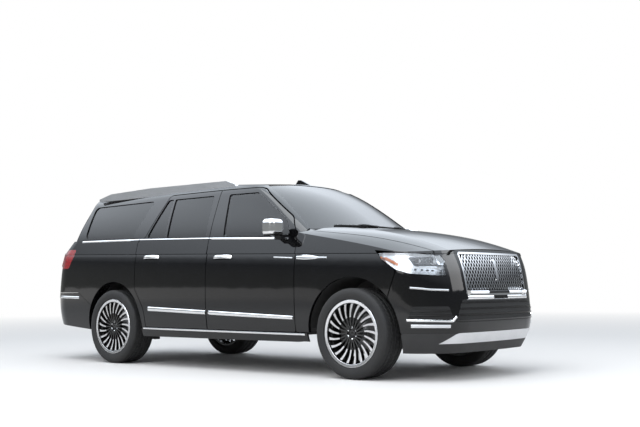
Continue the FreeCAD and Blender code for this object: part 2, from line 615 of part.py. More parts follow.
apron = box(1214, 2560, APRON_IN, APRON_OUT, 560.3, 1080)
strut_plate = box(X_FRONT - 60, X_FRONT + 60, APRON_OUT, 620, 860, 872)
notch = box(X_FRONT - 160, X_FRONT + 160, APRON_IN - 1, APRON_OUT + 1, 550, 612)
floor = fuse(floor, house, rear_panel, apron.cut(notch), strut_plate).cut(clear)
save("floor_pan", whole(floor))

# Engine block, gearbox and drive shafts, tank, exhaust and spare wheel
x0, x1, half, z0, z1 = ENGINE
save("engine_block", box(x0, x1, -half, half, z0, z1))
DRIVE_Z, GEAR_Z = TYRE_R, 500.0
SHAFT_END = 668.0
drive = [rod((560, 0, GEAR_Z), (1100, 0, GEAR_Z), 108), box(480, 760, -268, 60, 395, 560),
         Part.makeCone(108, 230, 460, V(1099, 0, GEAR_Z + 20), V(1, 0, 0)),
         rod((-1310, 0, DRIVE_Z), (560, 0, GEAR_Z), 36),
         rod((700, -215, 410), (X_FRONT, -215, DRIVE_Z), 24),
         Part.makeSphere(120, V(X_REAR, 0, DRIVE_Z)), rod((-1310, 0, DRIVE_Z), (X_REAR, 0, DRIVE_Z), 70),
         Part.makeSphere(92, V(X_FRONT, -215, DRIVE_Z))]
for x in (X_FRONT, X_REAR):
    drive.append(rod((x, -SHAFT_END, DRIVE_Z), (x, SHAFT_END, DRIVE_Z), 20))
    for s in (1, -1):
        drive.append(rod((x, s * 630, DRIVE_Z), (x, s * SHAFT_END, DRIVE_Z), 42))
save("driveline", fuse(*drive).cut(box(x0 - HOLD_GAP, x1, -half, half, z0 - HOLD_GAP, z1)))

tank = box(-930, 360, 75, RAIL_IN - HOLD_GAP, 300, 540)
save("fuel_tank", tank.makeFillet(40, tank.Edges))
PIPE_R = 25.0
EXHAUST = [(1620, -300, z0 - HOLD_GAP), (1620, -300, 413), (-1060, -300, 413), (-1330, -300, 484), (-1600, -300, 484),
           (-1690, -300, 405), (-1830, -565, 390), (-2690, -565, 378)]
hanger = box(-560, -520, -RAIL_IN + HOLD_GAP, -400, 455, 480)
save("exhaust", pipe(EXHAUST, PIPE_R).fuse([rod((-820, -323, 413), (-250, -323, 413), 95), hanger]))
SPARE_X, SPARE_R, SPARE_Z = -2179.0, 368.0, 335.0
spare = Part.makeCylinder(SPARE_R, 190, V(SPARE_X, 0, SPARE_Z))
spare = spare.makeFillet(40, [e for e in spare.Edges if abs(e.BoundBox.XLength - 2 * SPARE_R) < 5])
spare = spare.cut(Part.makeCylinder(210, 200, V(SPARE_X, 0, SPARE_Z + 60)))
save("spare_wheel", spare.fuse(Part.makeCylinder(30, FLOOR_Z - HOLD_GAP - SPARE_Z - 20, V(SPARE_X, 0, SPARE_Z + 20))))

# Wheels: rim profile in distance from the wheel's middle plane and radius
SPOKES = 21
RIM_HALF = 127.0
HUB_R = 72.0
DISC_R = 182.0
SPINDLE_R = 32.0
SPINDLE_END = 905.0
HUB_FACE = 945.0


def revolve(points, centre_y):
    """Ring about the wheel axis from corners (offset outboard, radius, corner radius)."""
    wire = corner_wire(points, lambda p: V(0, centre_y + p.x, p.y))
    return Part.Face(wire).revolve(V(0, 0, 0), V(0, 1, 0), 360)


TYRE = [(-116.5, 281, 0), (-116.5, 297.5, 0), (-136, 306, 12), (-142.5, 345, 60), (-112, 398, 34), (112, 398, 34),
        (142.5, 345, 60), (136, 306, 12), (116.5, 297.5, 0), (116.5, 281, 0), (104, 281, 4), (124, 318, 30),
        (118, 362, 30), (94, 376, 20), (-94, 376, 20), (-118, 362, 30), (-124, 318, 30), (-104, 281, 4)]
RIM = [(-127, 296, 3), (-120, 296, 0), (-117, 280.7, 0), (-60, 280.7, 20), (-40, 262, 20), (60, 262, 20), (84, 280.7, 10),
       (117, 280.7, 0), (120, 296, 0), (129, 296, 3), (126, 268, 3), (84, 262, 20), (70, 252, 10), (-50, 252, 20), (-70, 270, 20), (-124, 270, 3)]
tyre = revolve(TYRE, HALF_TRACK)
rim = revolve(RIM, HALF_TRACK)
hub = rod((0, 880, 0), (0, HUB_FACE, 0), HUB_R).fuse([rod((0, 800, 0), (0, 884, 0), 62), rod((0, 800, 0), (0, 826, 0), DISC_R)])
hub = hub.cut(rod((0, 790, 0), (0, SPINDLE_END + 6, 0), SPINDLE_R + PIN_GAP))
spoke_edges = [
    Part.Arc(V(0, 0, 50) + V(-6, 0, 0), V(-20, 0, 160), V(-2, 0, 262)).toShape(),
    Part.LineSegment(V(-2, 0, 262), V(24, 0, 262)).toShape(),
    Part.Arc(V(24, 0, 262), V(-6, 0, 160), V(6, 0, 50)).toShape(),
    Part.LineSegment(V(6, 0, 50), V(-6, 0, 50)).toShape(),
]
spoke = Part.Face(Part.Wire(spoke_edges)).extrude(V(0, 40, 0))
spoke.translate(V(0, 928, 0))
spokes = []
for i in range(SPOKES):
    turned = spoke.copy()
    turned.rotate(V(0, 0, 0), V(0, 1, 0), 360.0 * i / SPOKES)
    spokes.append(turned)
wheel = rim.fuse([hub] + spokes)

# Upright: spindle, steering arm and brake caliper
upright = fuse(box(-38, 38, 745, 792, BALL_LOW + 22, BALL_TOP - 22), rod((0, 740, 0), (0, 796, 0), 70),
               rod((0, 760, 0), (0, SPINDLE_END, 0), SPINDLE_R),
               box(-175, -20, 752, 790, -96, -72), rod((0, KINGPIN_Y - 10, BALL_LOW + 14), (0, KINGPIN_Y - 10, BALL_LOW + 30), 26),
               rod((0, KINGPIN_Y - 10, BALL_TOP - 30), (0, KINGPIN_Y - 10, BALL_TOP - 14), 22))
caliper = box(-215, -95, 782, 846, -70, 90).cut(rod((0, 796, 0), (0, 830, 0), DISC_R + 5)).cut(
    rod((0, 700, 0), (0, 900, 0), 112)).fuse(box(-120, -30, 770, 792, -40, 60))
upright = upright.fuse(caliper)

for place, x in (("front", X_FRONT), ("rear", X_REAR)):
    for name, shape in (("tyre", tyre), ("wheel", wheel)):
        moved = shape.copy()
        moved.translate(V(x, 0, TYRE_R))
        both_sides(name + "_" + place, moved)
knuckle = upright.copy()
knuckle.translate(V(X_FRONT, 0, TYRE_R))
both_sides("knuckle_front", knuckle)

# Suspension arms in plan: two inner pivots and an outer ball joint
def arm(x, spread, z, thick):
    tip = BALL_Y + 24
    plate = plan_prism([(x - spread, PIVOT_Y, 10), (x - 28, tip, 24), (x + 28, tip, 24), (x + spread, PIVOT_Y, 10),
                        (x + spread - 60, PIVOT_Y, 10), (x, BALL_Y - 30, 12), (x - spread + 60, PIVOT_Y, 10)], z, z + thick)
    middle = z + thick / 2
    pieces = [plate]
    for s in (1, -1):
        at = x + s * (spread - 30)
        pieces.append(rod((at - BUSH_LONG / 2, PIVOT_Y, middle), (at + BUSH_LONG / 2, PIVOT_Y, middle), BUSH_R))
    trim = box(x - spread - 60, x - spread + 30 - BUSH_LONG / 2, 0, PIVOT_Y + 25, z - 20, z + 60)
    other = box(x + spread - 30 + BUSH_LONG / 2, x + spread + 60, 0, PIVOT_Y + 25, z - 20, z + 60)
    inner = box(x - spread + 30 + BUSH_LONG / 2, x + spread - 30 - BUSH_LONG / 2, 0, PIVOT_Y + 25, z - 20, z + 60)
    return fuse(*pieces).cut([trim, other, inner])


def strut(x, top_z):
    y = 577
    legs = [rod((x + s * 118, y + 12, LOW_ARM_Z + ARM_THICK - 6), (x + s * 28, y, 462), 11) for s in (1, -1)]
    return fuse(rod((x, y, 460), (x, y, top_z), 14), rod((x, y, 452), (x, y, top_z - 40), 42), *legs)


STRUT_TOP = 860 - HOLD_GAP
for place, x in (("front", X_FRONT), ("rear", X_REAR)):
    lower, upper = [arm(x, spread, z, ARM_THICK) for spread, z in ARMS[place]]
    pieces = [lower.fuse(strut(x, STRUT_TOP))] if place == "front" else [lower]
    pieces.append(upper)
    if place == "rear":
        fixed = upright.copy()
        fixed.translate(V(x, 0, TYRE_R))
        pieces.append(fixed)
    pieces += [mirrored(piece) for piece in pieces]
    if place == "front":
        rack = rod((RACK_X, -430, RACK_Z), (RACK_X, 430, RACK_Z), RACK_R)
        pieces.append(rack.fuse(rod((RACK_X, -580, RACK_Z), (RACK_X, 580, RACK_Z), 10)))
    save(place + "_suspension", *pieces)

# Cabin: dashboard, steering wheel, seats
DASH = [(1180, 1236, 0), (1180, 760, 0), (1060, 760, 60), (960, 860, 40), (905, 1080, 40), (930, 1200, 50), (1120, 1236, 60)]
dash = side_prism(DASH, -1, 1100).common(hull(SIDE_WALL + HOLD_GAP))
CONSOLE_HALF = 105.0
dash = dash.fuse(box(150, 1100, 0, CONSOLE_HALF, 692 + HOLD_GAP, 920))
WHEEL_AT = V(765, 400, 1110)
WHEEL_TILT = 25.0
axis = V(-math.cos(math.radians(WHEEL_TILT)), 0, math.sin(math.radians(WHEEL_TILT)))
column_start = WHEEL_AT - axis * (30 + HOLD_GAP)
column = Part.makeCylinder(36, 220, column_start, axis * -1)
full_dash = whole(dash).fuse(column)
save("dashboard", full_dash)

turn = FreeCAD.Rotation(V(0, 0, 1), axis)
rim_ring = Part.makeTorus(186, 16)
parts = [rim_ring, Part.makeCylinder(62, 60, V(0, 0, -30))]
for angle in (90, 210, 330):
    bar = box(30, 180, -18, 18, -12, 6)
    bar.rotate(V(0, 0, 0), V(0, 0, 1), angle + 90)
    parts.append(bar)
steering = fuse(*parts)
steering.Placement = FreeCAD.Placement(WHEEL_AT, turn)
save("steering_wheel", steering)


def soft_box(x0, x1, y0, y1, z0, z1, radius):
    block = box(x0, x1, y0, y1, z0, z1)
    return block.makeFillet(radius, block.Edges)


BACK_LEAN = 18.0


def seat(x, y, width):
    """Seat with its back's foot at x: base, cushion, leaning back and head rest."""
    half = width / 2
    base = box(x + 60, x + 440, y - half + 70, y + half - 70, FLOOR_TOP + HOLD_GAP, FLOOR_TOP + 190)
    cushion = soft_box(x, x + 520, y - half, y + half, FLOOR_TOP + 170, FLOOR_TOP + 320, 45)
    back = soft_box(-120, 30, y - half, y + half, -60, 640, 45)
    rests = [soft_box(-90, 10, m - 130, m + 130, 650, 820, 35) for m in (
        [y] if width < 800 else [y - half + 210, y + half - 210])]
    posts = [box(-50, -30, r.BoundBox.Center.y - 60, r.BoundBox.Center.y + 60, 600, 700) for r in rests]
    upper = fuse(back, *rests, *posts)
    upper.rotate(V(0, 0, 0), V(0, 1, 0), -BACK_LEAN)
    upper.translate(V(x, 0, FLOOR_TOP + 250))
    return fuse(base, cushion, upper)


# Seats: foot of the back at x, middle y, width
SEATS = [(160, 400, 540), (160, -400, 540), (-790, 400, 540), (-790, -400, 540), (-1640, 0, 1240)]
save("seats", *[seat(*row) for row in SEATS])

# Door mirrors on the front doors
MIRROR = (985, 1130, 1002, 1186, 1279, 1441)
cap = soft_box(*MIRROR, 44)
foot = box(1016, 1100, 900, 1030, 1252, 1296).cut(hull(0)).cut(greenhouse(0))
foot = max(foot.Solids, key=lambda solid: solid.BoundBox.YMax)
both_sides("mirror", cap.fuse(foot))

# Lower front: dark valance and bright skid plate
VALANCE_TOP = 404.0
SKID_OUT = 9.0
valance = layer(prow, 0, 45).common(side_prism([(2150, 232, 0), (2900, 232, 0), (2900, VALANCE_TOP - HOLD_GAP, 0),
                                                (2380, VALANCE_TOP - HOLD_GAP, 0)], -10, 1150)).cut(arch_cut(ARCH_FRONT))
SKID = [(-1, 318, 0), (600, 318, 60), (760, 396, 40), (-1, 396, 0)]
skid = hull(-SKID_OUT).cut(hull(0)).common(front_prism(SKID, 2400, 2900))
save("front_valance", whole(valance), whole(skid))

for name, shape in made.items():
    shape.exportStep("parts/" + name + ".step")
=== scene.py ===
import math

import bmesh
import bpy
from mathutils import Matrix, Vector
from mathutils.bvhtree import BVHTree


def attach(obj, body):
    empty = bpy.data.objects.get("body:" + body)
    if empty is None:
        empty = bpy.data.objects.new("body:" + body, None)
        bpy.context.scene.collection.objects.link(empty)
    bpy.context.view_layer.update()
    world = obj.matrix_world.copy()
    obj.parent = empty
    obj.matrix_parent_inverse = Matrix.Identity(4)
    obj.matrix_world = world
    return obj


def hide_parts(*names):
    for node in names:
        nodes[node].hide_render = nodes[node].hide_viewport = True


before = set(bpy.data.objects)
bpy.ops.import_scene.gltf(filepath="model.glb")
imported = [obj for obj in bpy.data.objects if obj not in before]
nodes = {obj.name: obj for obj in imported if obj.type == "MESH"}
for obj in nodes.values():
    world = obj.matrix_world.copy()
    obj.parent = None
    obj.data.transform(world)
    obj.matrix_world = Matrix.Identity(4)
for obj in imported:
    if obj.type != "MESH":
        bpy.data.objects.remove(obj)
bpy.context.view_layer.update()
SIDES = (("left", 1), ("right", -1))


# Materials

def new_material(name):
    mat = bpy.data.materials.new(name)
    mat.use_nodes = True
    tree = mat.node_tree
    return mat, tree, tree.nodes["Principled BSDF"]


def add(tree, kind, **inputs):
    node = tree.nodes.new(kind)
    for key, value in inputs.items():
        if hasattr(node, key):
            setattr(node, key, value)
        else:
            node.inputs[key].default_value = value
    return node


def texture(tree, kind, **inputs):
    """Texture laid by the place on the object."""
    node = add(tree, kind, **inputs)
    where = tree.nodes.new("ShaderNodeTexCoord")
    tree.links.new(where.outputs["Object"], node.inputs["Vector"])
    return node


def noise(tree, scale, detail=3.0, roughness=0.5):
    return texture(tree, "ShaderNodeTexNoise", Scale=scale, Detail=detail, Roughness=roughness)


def ramp(tree, source, low, high, start=0.3, end=0.7):
    node = tree.nodes.new("ShaderNodeMapRange")
    node.inputs["From Min"].default_value = start
    node.inputs["From Max"].default_value = end
    node.inputs["To Min"].default_value = low
    node.inputs["To Max"].default_value = high
    tree.links.new(source, node.inputs["Value"])
    return node.outputs["Result"]


def colours(tree, factor, first, second):
    node = tree.nodes.new("ShaderNodeMix")
    node.data_type = "RGBA"
    node.inputs["A"].default_value = (*first, 1)
    node.inputs["B"].default_value = (*second, 1)
    tree.links.new(factor, node.inputs["Factor"])
    return node.outputs["Result"]


def bump(tree, shader, height, strength, distance):
    node = add(tree, "ShaderNodeBump", Strength=strength, Distance=distance)
    tree.links.new(height, node.inputs["Height"])
    tree.links.new(node.outputs["Normal"], shader.inputs["Normal"])


def plain(name, colour, second=None, metallic=0.0, rough=(0.4, 0.5), grain=60.0, depth=0.0, coat=0.0):
    """Procedural surface: two colours and a range of roughness mixed by noise, with fine bump in metres."""
    mat, tree, shader = new_material(name)
    shader.inputs["Metallic"].default_value = metallic
    if coat:
        shader.inputs["Coat Weight"].default_value = coat
        shader.inputs["Coat Roughness"].default_value = 0.03
    broad = noise(tree, 6.0)
    fine = noise(tree, grain, 4.0, 0.6)
    factor = ramp(tree, broad.outputs["Fac"], 0, 1)
    second = second or [min(c * 1.25 + 0.002, 1) for c in colour]
    tree.links.new(colours(tree, factor, colour, second), shader.inputs["Base Color"])
    tree.links.new(ramp(tree, fine.outputs["Fac"], *rough), shader.inputs["Roughness"])
    if depth:
        bump(tree, shader, fine.outputs["Fac"], 0.6, depth)
    return mat


paint = plain("paint black", (0.0025, 0.0025, 0.003), (0.0035, 0.0035, 0.0042), 0.0, (0.03, 0.06), 900.0,
              0.000005)
chrome = plain("chrome", (0.78, 0.79, 0.80), (0.82, 0.82, 0.83), 1.0, (0.05, 0.09), 300.0)
dark_chrome = plain("dark chrome", (0.30, 0.30, 0.31), None, 1.0, (0.12, 0.2), 300.0)
satin = plain("satin silver", (0.66, 0.67, 0.69), (0.72, 0.73, 0.75), 1.0, (0.26, 0.34), 700.0, 0.00002)
black_plastic = plain("grained black plastic", (0.016, 0.016, 0.017), (0.022, 0.022, 0.023), 0.0, (0.5, 0.65),
                      900.0, 0.0003)
gloss_plastic = plain("gloss black plastic", (0.008, 0.008, 0.009), None, 0.0, (0.12, 0.2), 200.0)
tyre_rubber = plain("tyre rubber", (0.008, 0.008, 0.009), (0.013, 0.0125, 0.012), 0.0, (0.7, 0.85), 700.0,
                    0.0002)
cast_metal = plain("cast metal", (0.16, 0.16, 0.165), (0.10, 0.095, 0.09), 0.7, (0.45, 0.65), 250.0, 0.0006)
disc_steel = plain("disc steel", (0.48, 0.48, 0.49), (0.40, 0.39, 0.38), 1.0, (0.22, 0.34), 500.0, 0.00005)
frame_black = plain("frame paint", (0.022, 0.022, 0.024), (0.035, 0.032, 0.030), 0.0, (0.4, 0.6), 80.0,
                    0.0003)
floor_dark = plain("underseal", (0.03, 0.03, 0.031), (0.045, 0.042, 0.038), 0.0, (0.7, 0.85), 300.0, 0.0006)
engine_metal = plain("engine metal", (0.34, 0.34, 0.35), (0.26, 0.26, 0.26), 0.8, (0.4, 0.55), 200.0, 0.0005)
pipe_steel = plain("pipe steel", (0.42, 0.40, 0.37), (0.30, 0.26, 0.22), 1.0, (0.3, 0.45), 120.0, 0.0001)
liner_felt = plain("arch felt", (0.018, 0.018, 0.018), (0.028, 0.027, 0.026), 0.0, (0.85, 0.95), 1500.0,
                   0.0008)
wheel_black = plain("wheel black", (0.006, 0.006, 0.006), None, 0.0, (0.18, 0.3), 300.0, 0.00002, 0.5)
cabin_plastic = plain("cabin plastic", (0.022, 0.021, 0.020), (0.03, 0.029, 0.027), 0.0, (0.5, 0.62), 1400.0,
                      0.0003)
plate_white = plain("blank plate", (0.72, 0.72, 0.70), (0.78, 0.78, 0.76), 0.0, (0.35, 0.45), 400.0, 0.00005)
# Painted shade: a near-black, far darker than the black plastic, that stands for the shade inside the grille
# and intake openings
painted_shade_black = plain("painted shade black", (0.002, 0.002, 0.002), (0.004, 0.004, 0.004), 0.0, (0.8, 0.95), 600.0,
                      0.0005)
lamp_bright = plain("lamp reflector", (0.74, 0.75, 0.77), (0.86, 0.87, 0.88), 0.85, (0.16, 0.32), 150.0,
                    0.0001)


def glass_material(name, tint, gloss=0.9):
    """Car glass: tinted see-through with a mirror sheen that grows towards grazing angles."""
    mat, tree, shader = new_material(name)
    out = tree.nodes["Material Output"]
    clear = add(tree, "ShaderNodeBsdfTransparent", Color=(*tint, 1))
    shine = add(tree, "ShaderNodeBsdfGlossy", Color=(gloss, gloss, gloss, 1), Roughness=0.01)
    sheen = add(tree, "ShaderNodeFresnel", IOR=1.5)
    mix = tree.nodes.new("ShaderNodeMixShader")
    tree.links.new(sheen.outputs["Fac"], mix.inputs["Fac"])
    tree.links.new(clear.outputs["BSDF"], mix.inputs[1])
    tree.links.new(shine.outputs["BSDF"], mix.inputs[2])
    tree.links.new(mix.outputs["Shader"], out.inputs["Surface"])
    tree.nodes.remove(shader)
    return mat


glass_front = glass_material("front glass", (0.42, 0.46, 0.46))
glass_rear = glass_material("privacy glass", (0.045, 0.05, 0.055))
lens_clear = glass_material("lamp lens", (0.93, 0.94, 0.95))


def red_lens_material():
    mat, tree, shader = new_material("red lens")
    ribs = texture(tree, "ShaderNodeTexWave", bands_direction="Z", Scale=26.0)
    mixed = colours(tree, ribs.outputs["Fac"], (0.20, 0.002, 0.004), (0.42, 0.008, 0.012))
    tree.links.new(mixed, shader.inputs["Base Color"])
    shader.inputs["Roughness"].default_value = 0.08
    shader.inputs["Coat Weight"].default_value = 1.0
    return mat


red_lens = red_lens_material()


def lit(name, colour, strength, rough=0.25):
    """Lamp part: coloured plastic that glows faintly, with a fine ribbed bump."""
    mat, tree, shader = new_material(name)
    shader.inputs["Base Color"].default_value = (*colour, 1)
    shader.inputs["Roughness"].default_value = rough
    shader.inputs["Coat Weight"].default_value = 0.5
    shader.inputs["Emission Color"].default_value = (*colour, 1)
    shader.inputs["Emission Strength"].default_value = strength
    ribs = texture(tree, "ShaderNodeTexWave", Scale=90.0)
    bump(tree, shader, ribs.outputs["Fac"], 0.4, 0.0006)
    return mat


lens_white = lit("led white", (0.92, 0.94, 0.96), 0.25)
amber = lit("amber reflector", (0.85, 0.22, 0.02), 0.05)


def leather_material():
    mat, tree, shader = new_material("seat leather")
    cells = texture(tree, "ShaderNodeTexVoronoi", Scale=420.0)
    broad = noise(tree, 5.0)
    factor = ramp(tree, broad.outputs["Fac"], 0, 1)
    mixed = colours(tree, factor, (0.030, 0.027, 0.025), (0.045, 0.040, 0.037))
    tree.links.new(mixed, shader.inputs["Base Color"])
    tree.links.new(ramp(tree, cells.outputs["Distance"], 0.42, 0.55, 0, 1), shader.inputs["Roughness"])
    bump(tree, shader, cells.outputs["Distance"], 0.35, 0.0008)
    return mat


leather = leather_material()


def machined_material():
    """Bright machined metal with a fine even grain."""
    mat, tree, shader = new_material("machined alloy")
    shader.inputs["Metallic"].default_value = 1.0
    fine = noise(tree, 800.0)
    factor = ramp(tree, fine.outputs["Fac"], 0, 1)
    tree.links.new(colours(tree, factor, (0.70, 0.70, 0.72), (0.78, 0.78, 0.79)), shader.inputs["Base Color"])
    tree.links.new(ramp(tree, fine.outputs["Fac"], 0.16, 0.24), shader.inputs["Roughness"])
    bump(tree, shader, fine.outputs["Fac"], 0.3, 0.00003)
    return mat


machined = machined_material()

NODE_LOOKS = {
    "body_sides": paint, "roof_panel": paint, "hood": paint, "fenders": paint, "liftgate": paint,
    "front_bumper": paint, "rear_bumper": paint, "running_boards": paint,
    "fixed_glass": glass_rear, "liftgate_glass": glass_rear, "tail_lamps": red_lens,
    "headlamps": gloss_plastic, "front_valance": black_plastic, "grille": chrome, "roof_rails": satin,
    "cowl": black_plastic, "arch_liners": liner_felt, "ladder_frame": frame_black, "floor_pan": floor_dark,
    "engine_block": engine_metal, "driveline": cast_metal, "fuel_tank": black_plastic, "exhaust": pipe_steel,
    "spare_wheel": tyre_rubber, "front_suspension": frame_black, "rear_suspension": frame_black,
    "dashboard": cabin_plastic, "steering_wheel": leather, "seats": leather,
}
for side, s in SIDES:
    for place in ("front", "rear"):
        NODE_LOOKS["door_%s_%s" % (place, side)] = paint
        NODE_LOOKS["tyre_%s_%s" % (place, side)] = tyre_rubber
        NODE_LOOKS["wheel_%s_%s" % (place, side)] = machined
    NODE_LOOKS["glass_front_" + side] = glass_front
    NODE_LOOKS["glass_rear_" + side] = glass_rear
    NODE_LOOKS["mirror_" + side] = chrome
    NODE_LOOKS["knuckle_front_" + side] = cast_metal


def smooth(obj, angle=32.0):
    for polygon in obj.data.polygons:
        polygon.use_smooth = True
    mark = bmesh.new()
    mark.from_mesh(obj.data)
    limit = math.radians(angle)
    for edge in mark.edges:
        sharp = len(edge.link_faces) != 2 or edge.calc_face_angle(3.2) > limit
        edge.smooth = not sharp
    mark.to_mesh(obj.data)
    mark.free()


for name, obj in nodes.items():
    obj.data.materials.clear()
    obj.data.materials.append(NODE_LOOKS.get(name, black_plastic))
    smooth(obj)

# Helpers for laid-on trim


def link(name, verts, faces, mat, body, angle=35.0):
    data = bpy.data.meshes.new(name)
    data.from_pydata([tuple(v) for v in verts], [], [tuple(f) for f in faces])
    shell = bmesh.new()
    shell.from_mesh(data)
    bmesh.ops.remove_doubles(shell, verts=shell.verts, dist=1e-6)
    bmesh.ops.recalc_face_normals(shell, faces=shell.faces)
    shell.to_mesh(data)
    shell.free()
    data.materials.append(mat)
    obj = bpy.data.objects.new(name, data)
    bpy.context.scene.collection.objects.link(obj)
    smooth(obj, angle)
    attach(obj, body)
    return obj


def both(name, verts, faces, mat, body, angle=35.0):
    """The left piece as given and the right one mirrored; {} in a body's name is the side."""
    made = []
    for side, s in SIDES:
        flipped = [(v[0], s * v[1], v[2]) for v in verts]
        made.append(link(name + "_" + side, flipped, faces, mat, body.format(side), angle))
    return made


def surface(*names):
    verts = []
    faces = []
    for name in names:
        first = len(verts)
        verts += [v.co.copy() for v in nodes[name].data.vertices]
        faces += [[first + i for i in p.vertices] for p in nodes[name].data.polygons]
    return BVHTree.FromPolygons(verts, faces)


def hit(tree, start, direction):
    place, normal = tree.ray_cast(Vector(start), Vector(direction))[:2]
    if place is not None and normal.dot(Vector(direction)) > 0:
        normal = -normal
    return place, normal


def from_side(tree, x, z):
    return hit(tree, (x, 1.4, z), (0, -1, 0))


def from_front(tree, y, z):
    return hit(tree, (3.2, y, z), (-1, 0, 0))


def from_back(tree, y, z):
    return hit(tree, (-3.2, y, z), (1, 0, 0))


def from_above(tree, x, y):
    return hit(tree, (x, y, 2.3), (0, 0, -1))


def spaced(points, step):
    """Points at even steps along a polyline."""
    points = [Vector(p) for p in points]
    out = [points[0]]
    for a, b in zip(points, points[1:]):
        count = max(1, round((b - a).length / step))
        out += [a.lerp(b, (i + 1) / count) for i in range(count)]
    return out


# Sections of laid-on bars: across and up, as shares of the width and the rise
CROWN = [(-0.5, -0.2), (-0.5, 0.35), (-0.32, 0.85), (0, 1.0), (0.32, 0.85), (0.5, 0.35), (0.5, -0.2)]
FLAT = [(-0.5, -0.2), (-0.5, 0.7), (-0.44, 1.0), (0.44, 1.0), (0.5, 0.7), (0.5, -0.2)]


def band_faces(rings, around, closed=False, first=0):
    """Quads between rings of points; closed joins the last ring to the first."""
    faces = []
    for i in range(rings if closed else rings - 1):
        here, there = first + i * around, first + (i + 1) % rings * around
        for k in range(around):
            after = (k + 1) % around
            faces.append((here + k, here + after, there + after, there + k))
    return faces


def swept(path, normals, width, rise, profile=CROWN):
    """Verts and faces of a profile swept along a path; width may be a list along the path."""
    verts = []
    last = len(path) - 1
    around = len(profile)
    for i, (place, normal) in enumerate(zip(path, normals)):
        tangent = (path[min(i + 1, last)] - path[max(i - 1, 0)]).normalized()
        normal = (normal - tangent * normal.dot(tangent)).normalized()
        across = tangent.cross(normal)
        wide = width[i] if isinstance(width, list) else width
        verts += [place + across * (a * wide) + normal * (b * rise) for a, b in profile]
    ends = [tuple(range(around)), tuple(last * around + k for k in reversed(range(around)))]
    return verts, band_faces(len(path), around) + ends


def laid(tree, cast, points, step=0.03):
    """Places and evened normals where points, cast onto a surface, lie."""
    path = []
    normals = []
    for p in spaced(points, step):
        place, normal = cast(tree, p[0], p[1])
        if place is not None:
            path.append(place)
            normals.append(normal)
    even = []
    last = len(path) - 1
    for i in range(len(path)):
        near = [normals[min(max(i + k, 0), last)] for k in (-2, -1, 0, 1, 2)]
        even.append(sum(near, Vector((0, 0, 0))).normalized())
    return path, even


def bar_on(tree, cast, points, width, rise, profile=CROWN, step=0.03):
    """A bar laid along points that are cast onto a surface."""
    path, normals = laid(tree, cast, points, step)
    return swept(path, normals, width, rise, profile)


def strip(name, tree, cast, points, width, rise, mat, body, profile=CROWN, step=0.03, sides=True):
    part = bar_on(tree, cast, points, width, rise, profile, step)
    (both if sides else link)(name, *part, mat, body)


def turned_profile(points, steps, centre):
    """Ring about the axle from a closed profile of (offset along the axle, radius)."""
    verts = []
    for i in range(steps):
        a = 2 * math.pi * i / steps
        for off, r in points:
            verts.append((centre[0] + r * math.sin(a), centre[1] + off, centre[2] + r * math.cos(a)))
    return verts, band_faces(steps, len(points), closed=True)


def tube(path, radius, sides=10):
    """Round bar along a path."""
    turns = [2 * math.pi * k / sides for k in range(sides)]
    profile = [(0.5 * math.cos(a), 0.5 * math.sin(a)) for a in turns]
    path = [Vector(p) for p in path]
    run = path[-1] - path[0]
    helper = Vector((0, 0, 1)) if abs(run.normalized().z) < 0.9 else Vector((1, 0, 0))
    return swept(path, [helper] * len(path), 2 * radius, 2 * radius, profile)


def as_lists(form):
    """Verts and faces of a bmesh, which is freed."""
    form.verts.ensure_lookup_table()
    verts = [v.co.copy() for v in form.verts]
    faces = [[v.index for v in f.verts] for f in form.faces]
    form.free()
    return verts, faces


def block(x0, x1, y0, y1, z0, z1, bevel=0.003, segments=2):
    """Verts and faces of a box with rounded edges."""
    form = bmesh.new()
    bmesh.ops.create_cube(form, size=1.0)
    size = (x1 - x0, y1 - y0, z1 - z0)
    for v in form.verts:
        v.co = Vector([low + (c + 0.5) * d for low, c, d in zip((x0, y0, z0), v.co, size)])
    bmesh.ops.bevel(form, geom=form.edges[:], offset=bevel, segments=segments, profile=0.6, affect="EDGES")
    return as_lists(form)


def joined(*parts):
    verts = []
    faces = []
    for part_verts, part_faces in parts:
        first = len(verts)
        verts += [Vector(v) for v in part_verts]
        faces += [[first + i for i in f] for f in part_faces]
    return verts, faces


def moved(part, matrix):
    return [matrix @ Vector(v) for v in part[0]], part[1]


# Trim along the sides

sides = surface("door_front_left", "door_rear_left", "body_sides", "fenders", "running_boards")
upper = surface("door_front_left", "door_rear_left", "body_sides")
B_SHUT, FRONT_SHUT, REAR_SHUT = 0.054, 1.220, -1.064
GAP = 0.005


def on_line(line, x):
    """Height of a side-view line at a place along the car."""
    (xa, za), (xb, zb) = line[0], line[-1]
    for (x0, z0), (x1, z1) in zip(line, line[1:]):
        if min(x0, x1) <= x <= max(x0, x1):
            xa, za, xb, zb = x0, z0, x1, z1
    return za + (x - xa) / (xb - xa) * (zb - za)


def run_of(line, x0, x1):
    """Part of a side-view line between two places along the car."""
    xs = [x0] + sorted(p[0] for p in line if min(x0, x1) < p[0] < max(x0, x1)) + [x1]
    return [(x, on_line(line, x)) for x in xs]


BELT = [(-2.110, 1.347), (-1.035, 1.330), (0.079, 1.300), (1.066, 1.264), (1.190, 1.262)]
# name, start x, end x, body
for name, x0, x1, body in (
        ("belt_trim_quarter", -2.112, REAR_SHUT - 0.004, "body"),
        ("belt_trim_rear", REAR_SHUT + GAP, B_SHUT - GAP, "door_rear_{}"),
        ("belt_trim_front", B_SHUT + GAP, 1.118, "door_front_{}")):
    strip(name, upper, from_side, run_of(BELT, x0, x1), 0.018, 0.006, chrome, body)

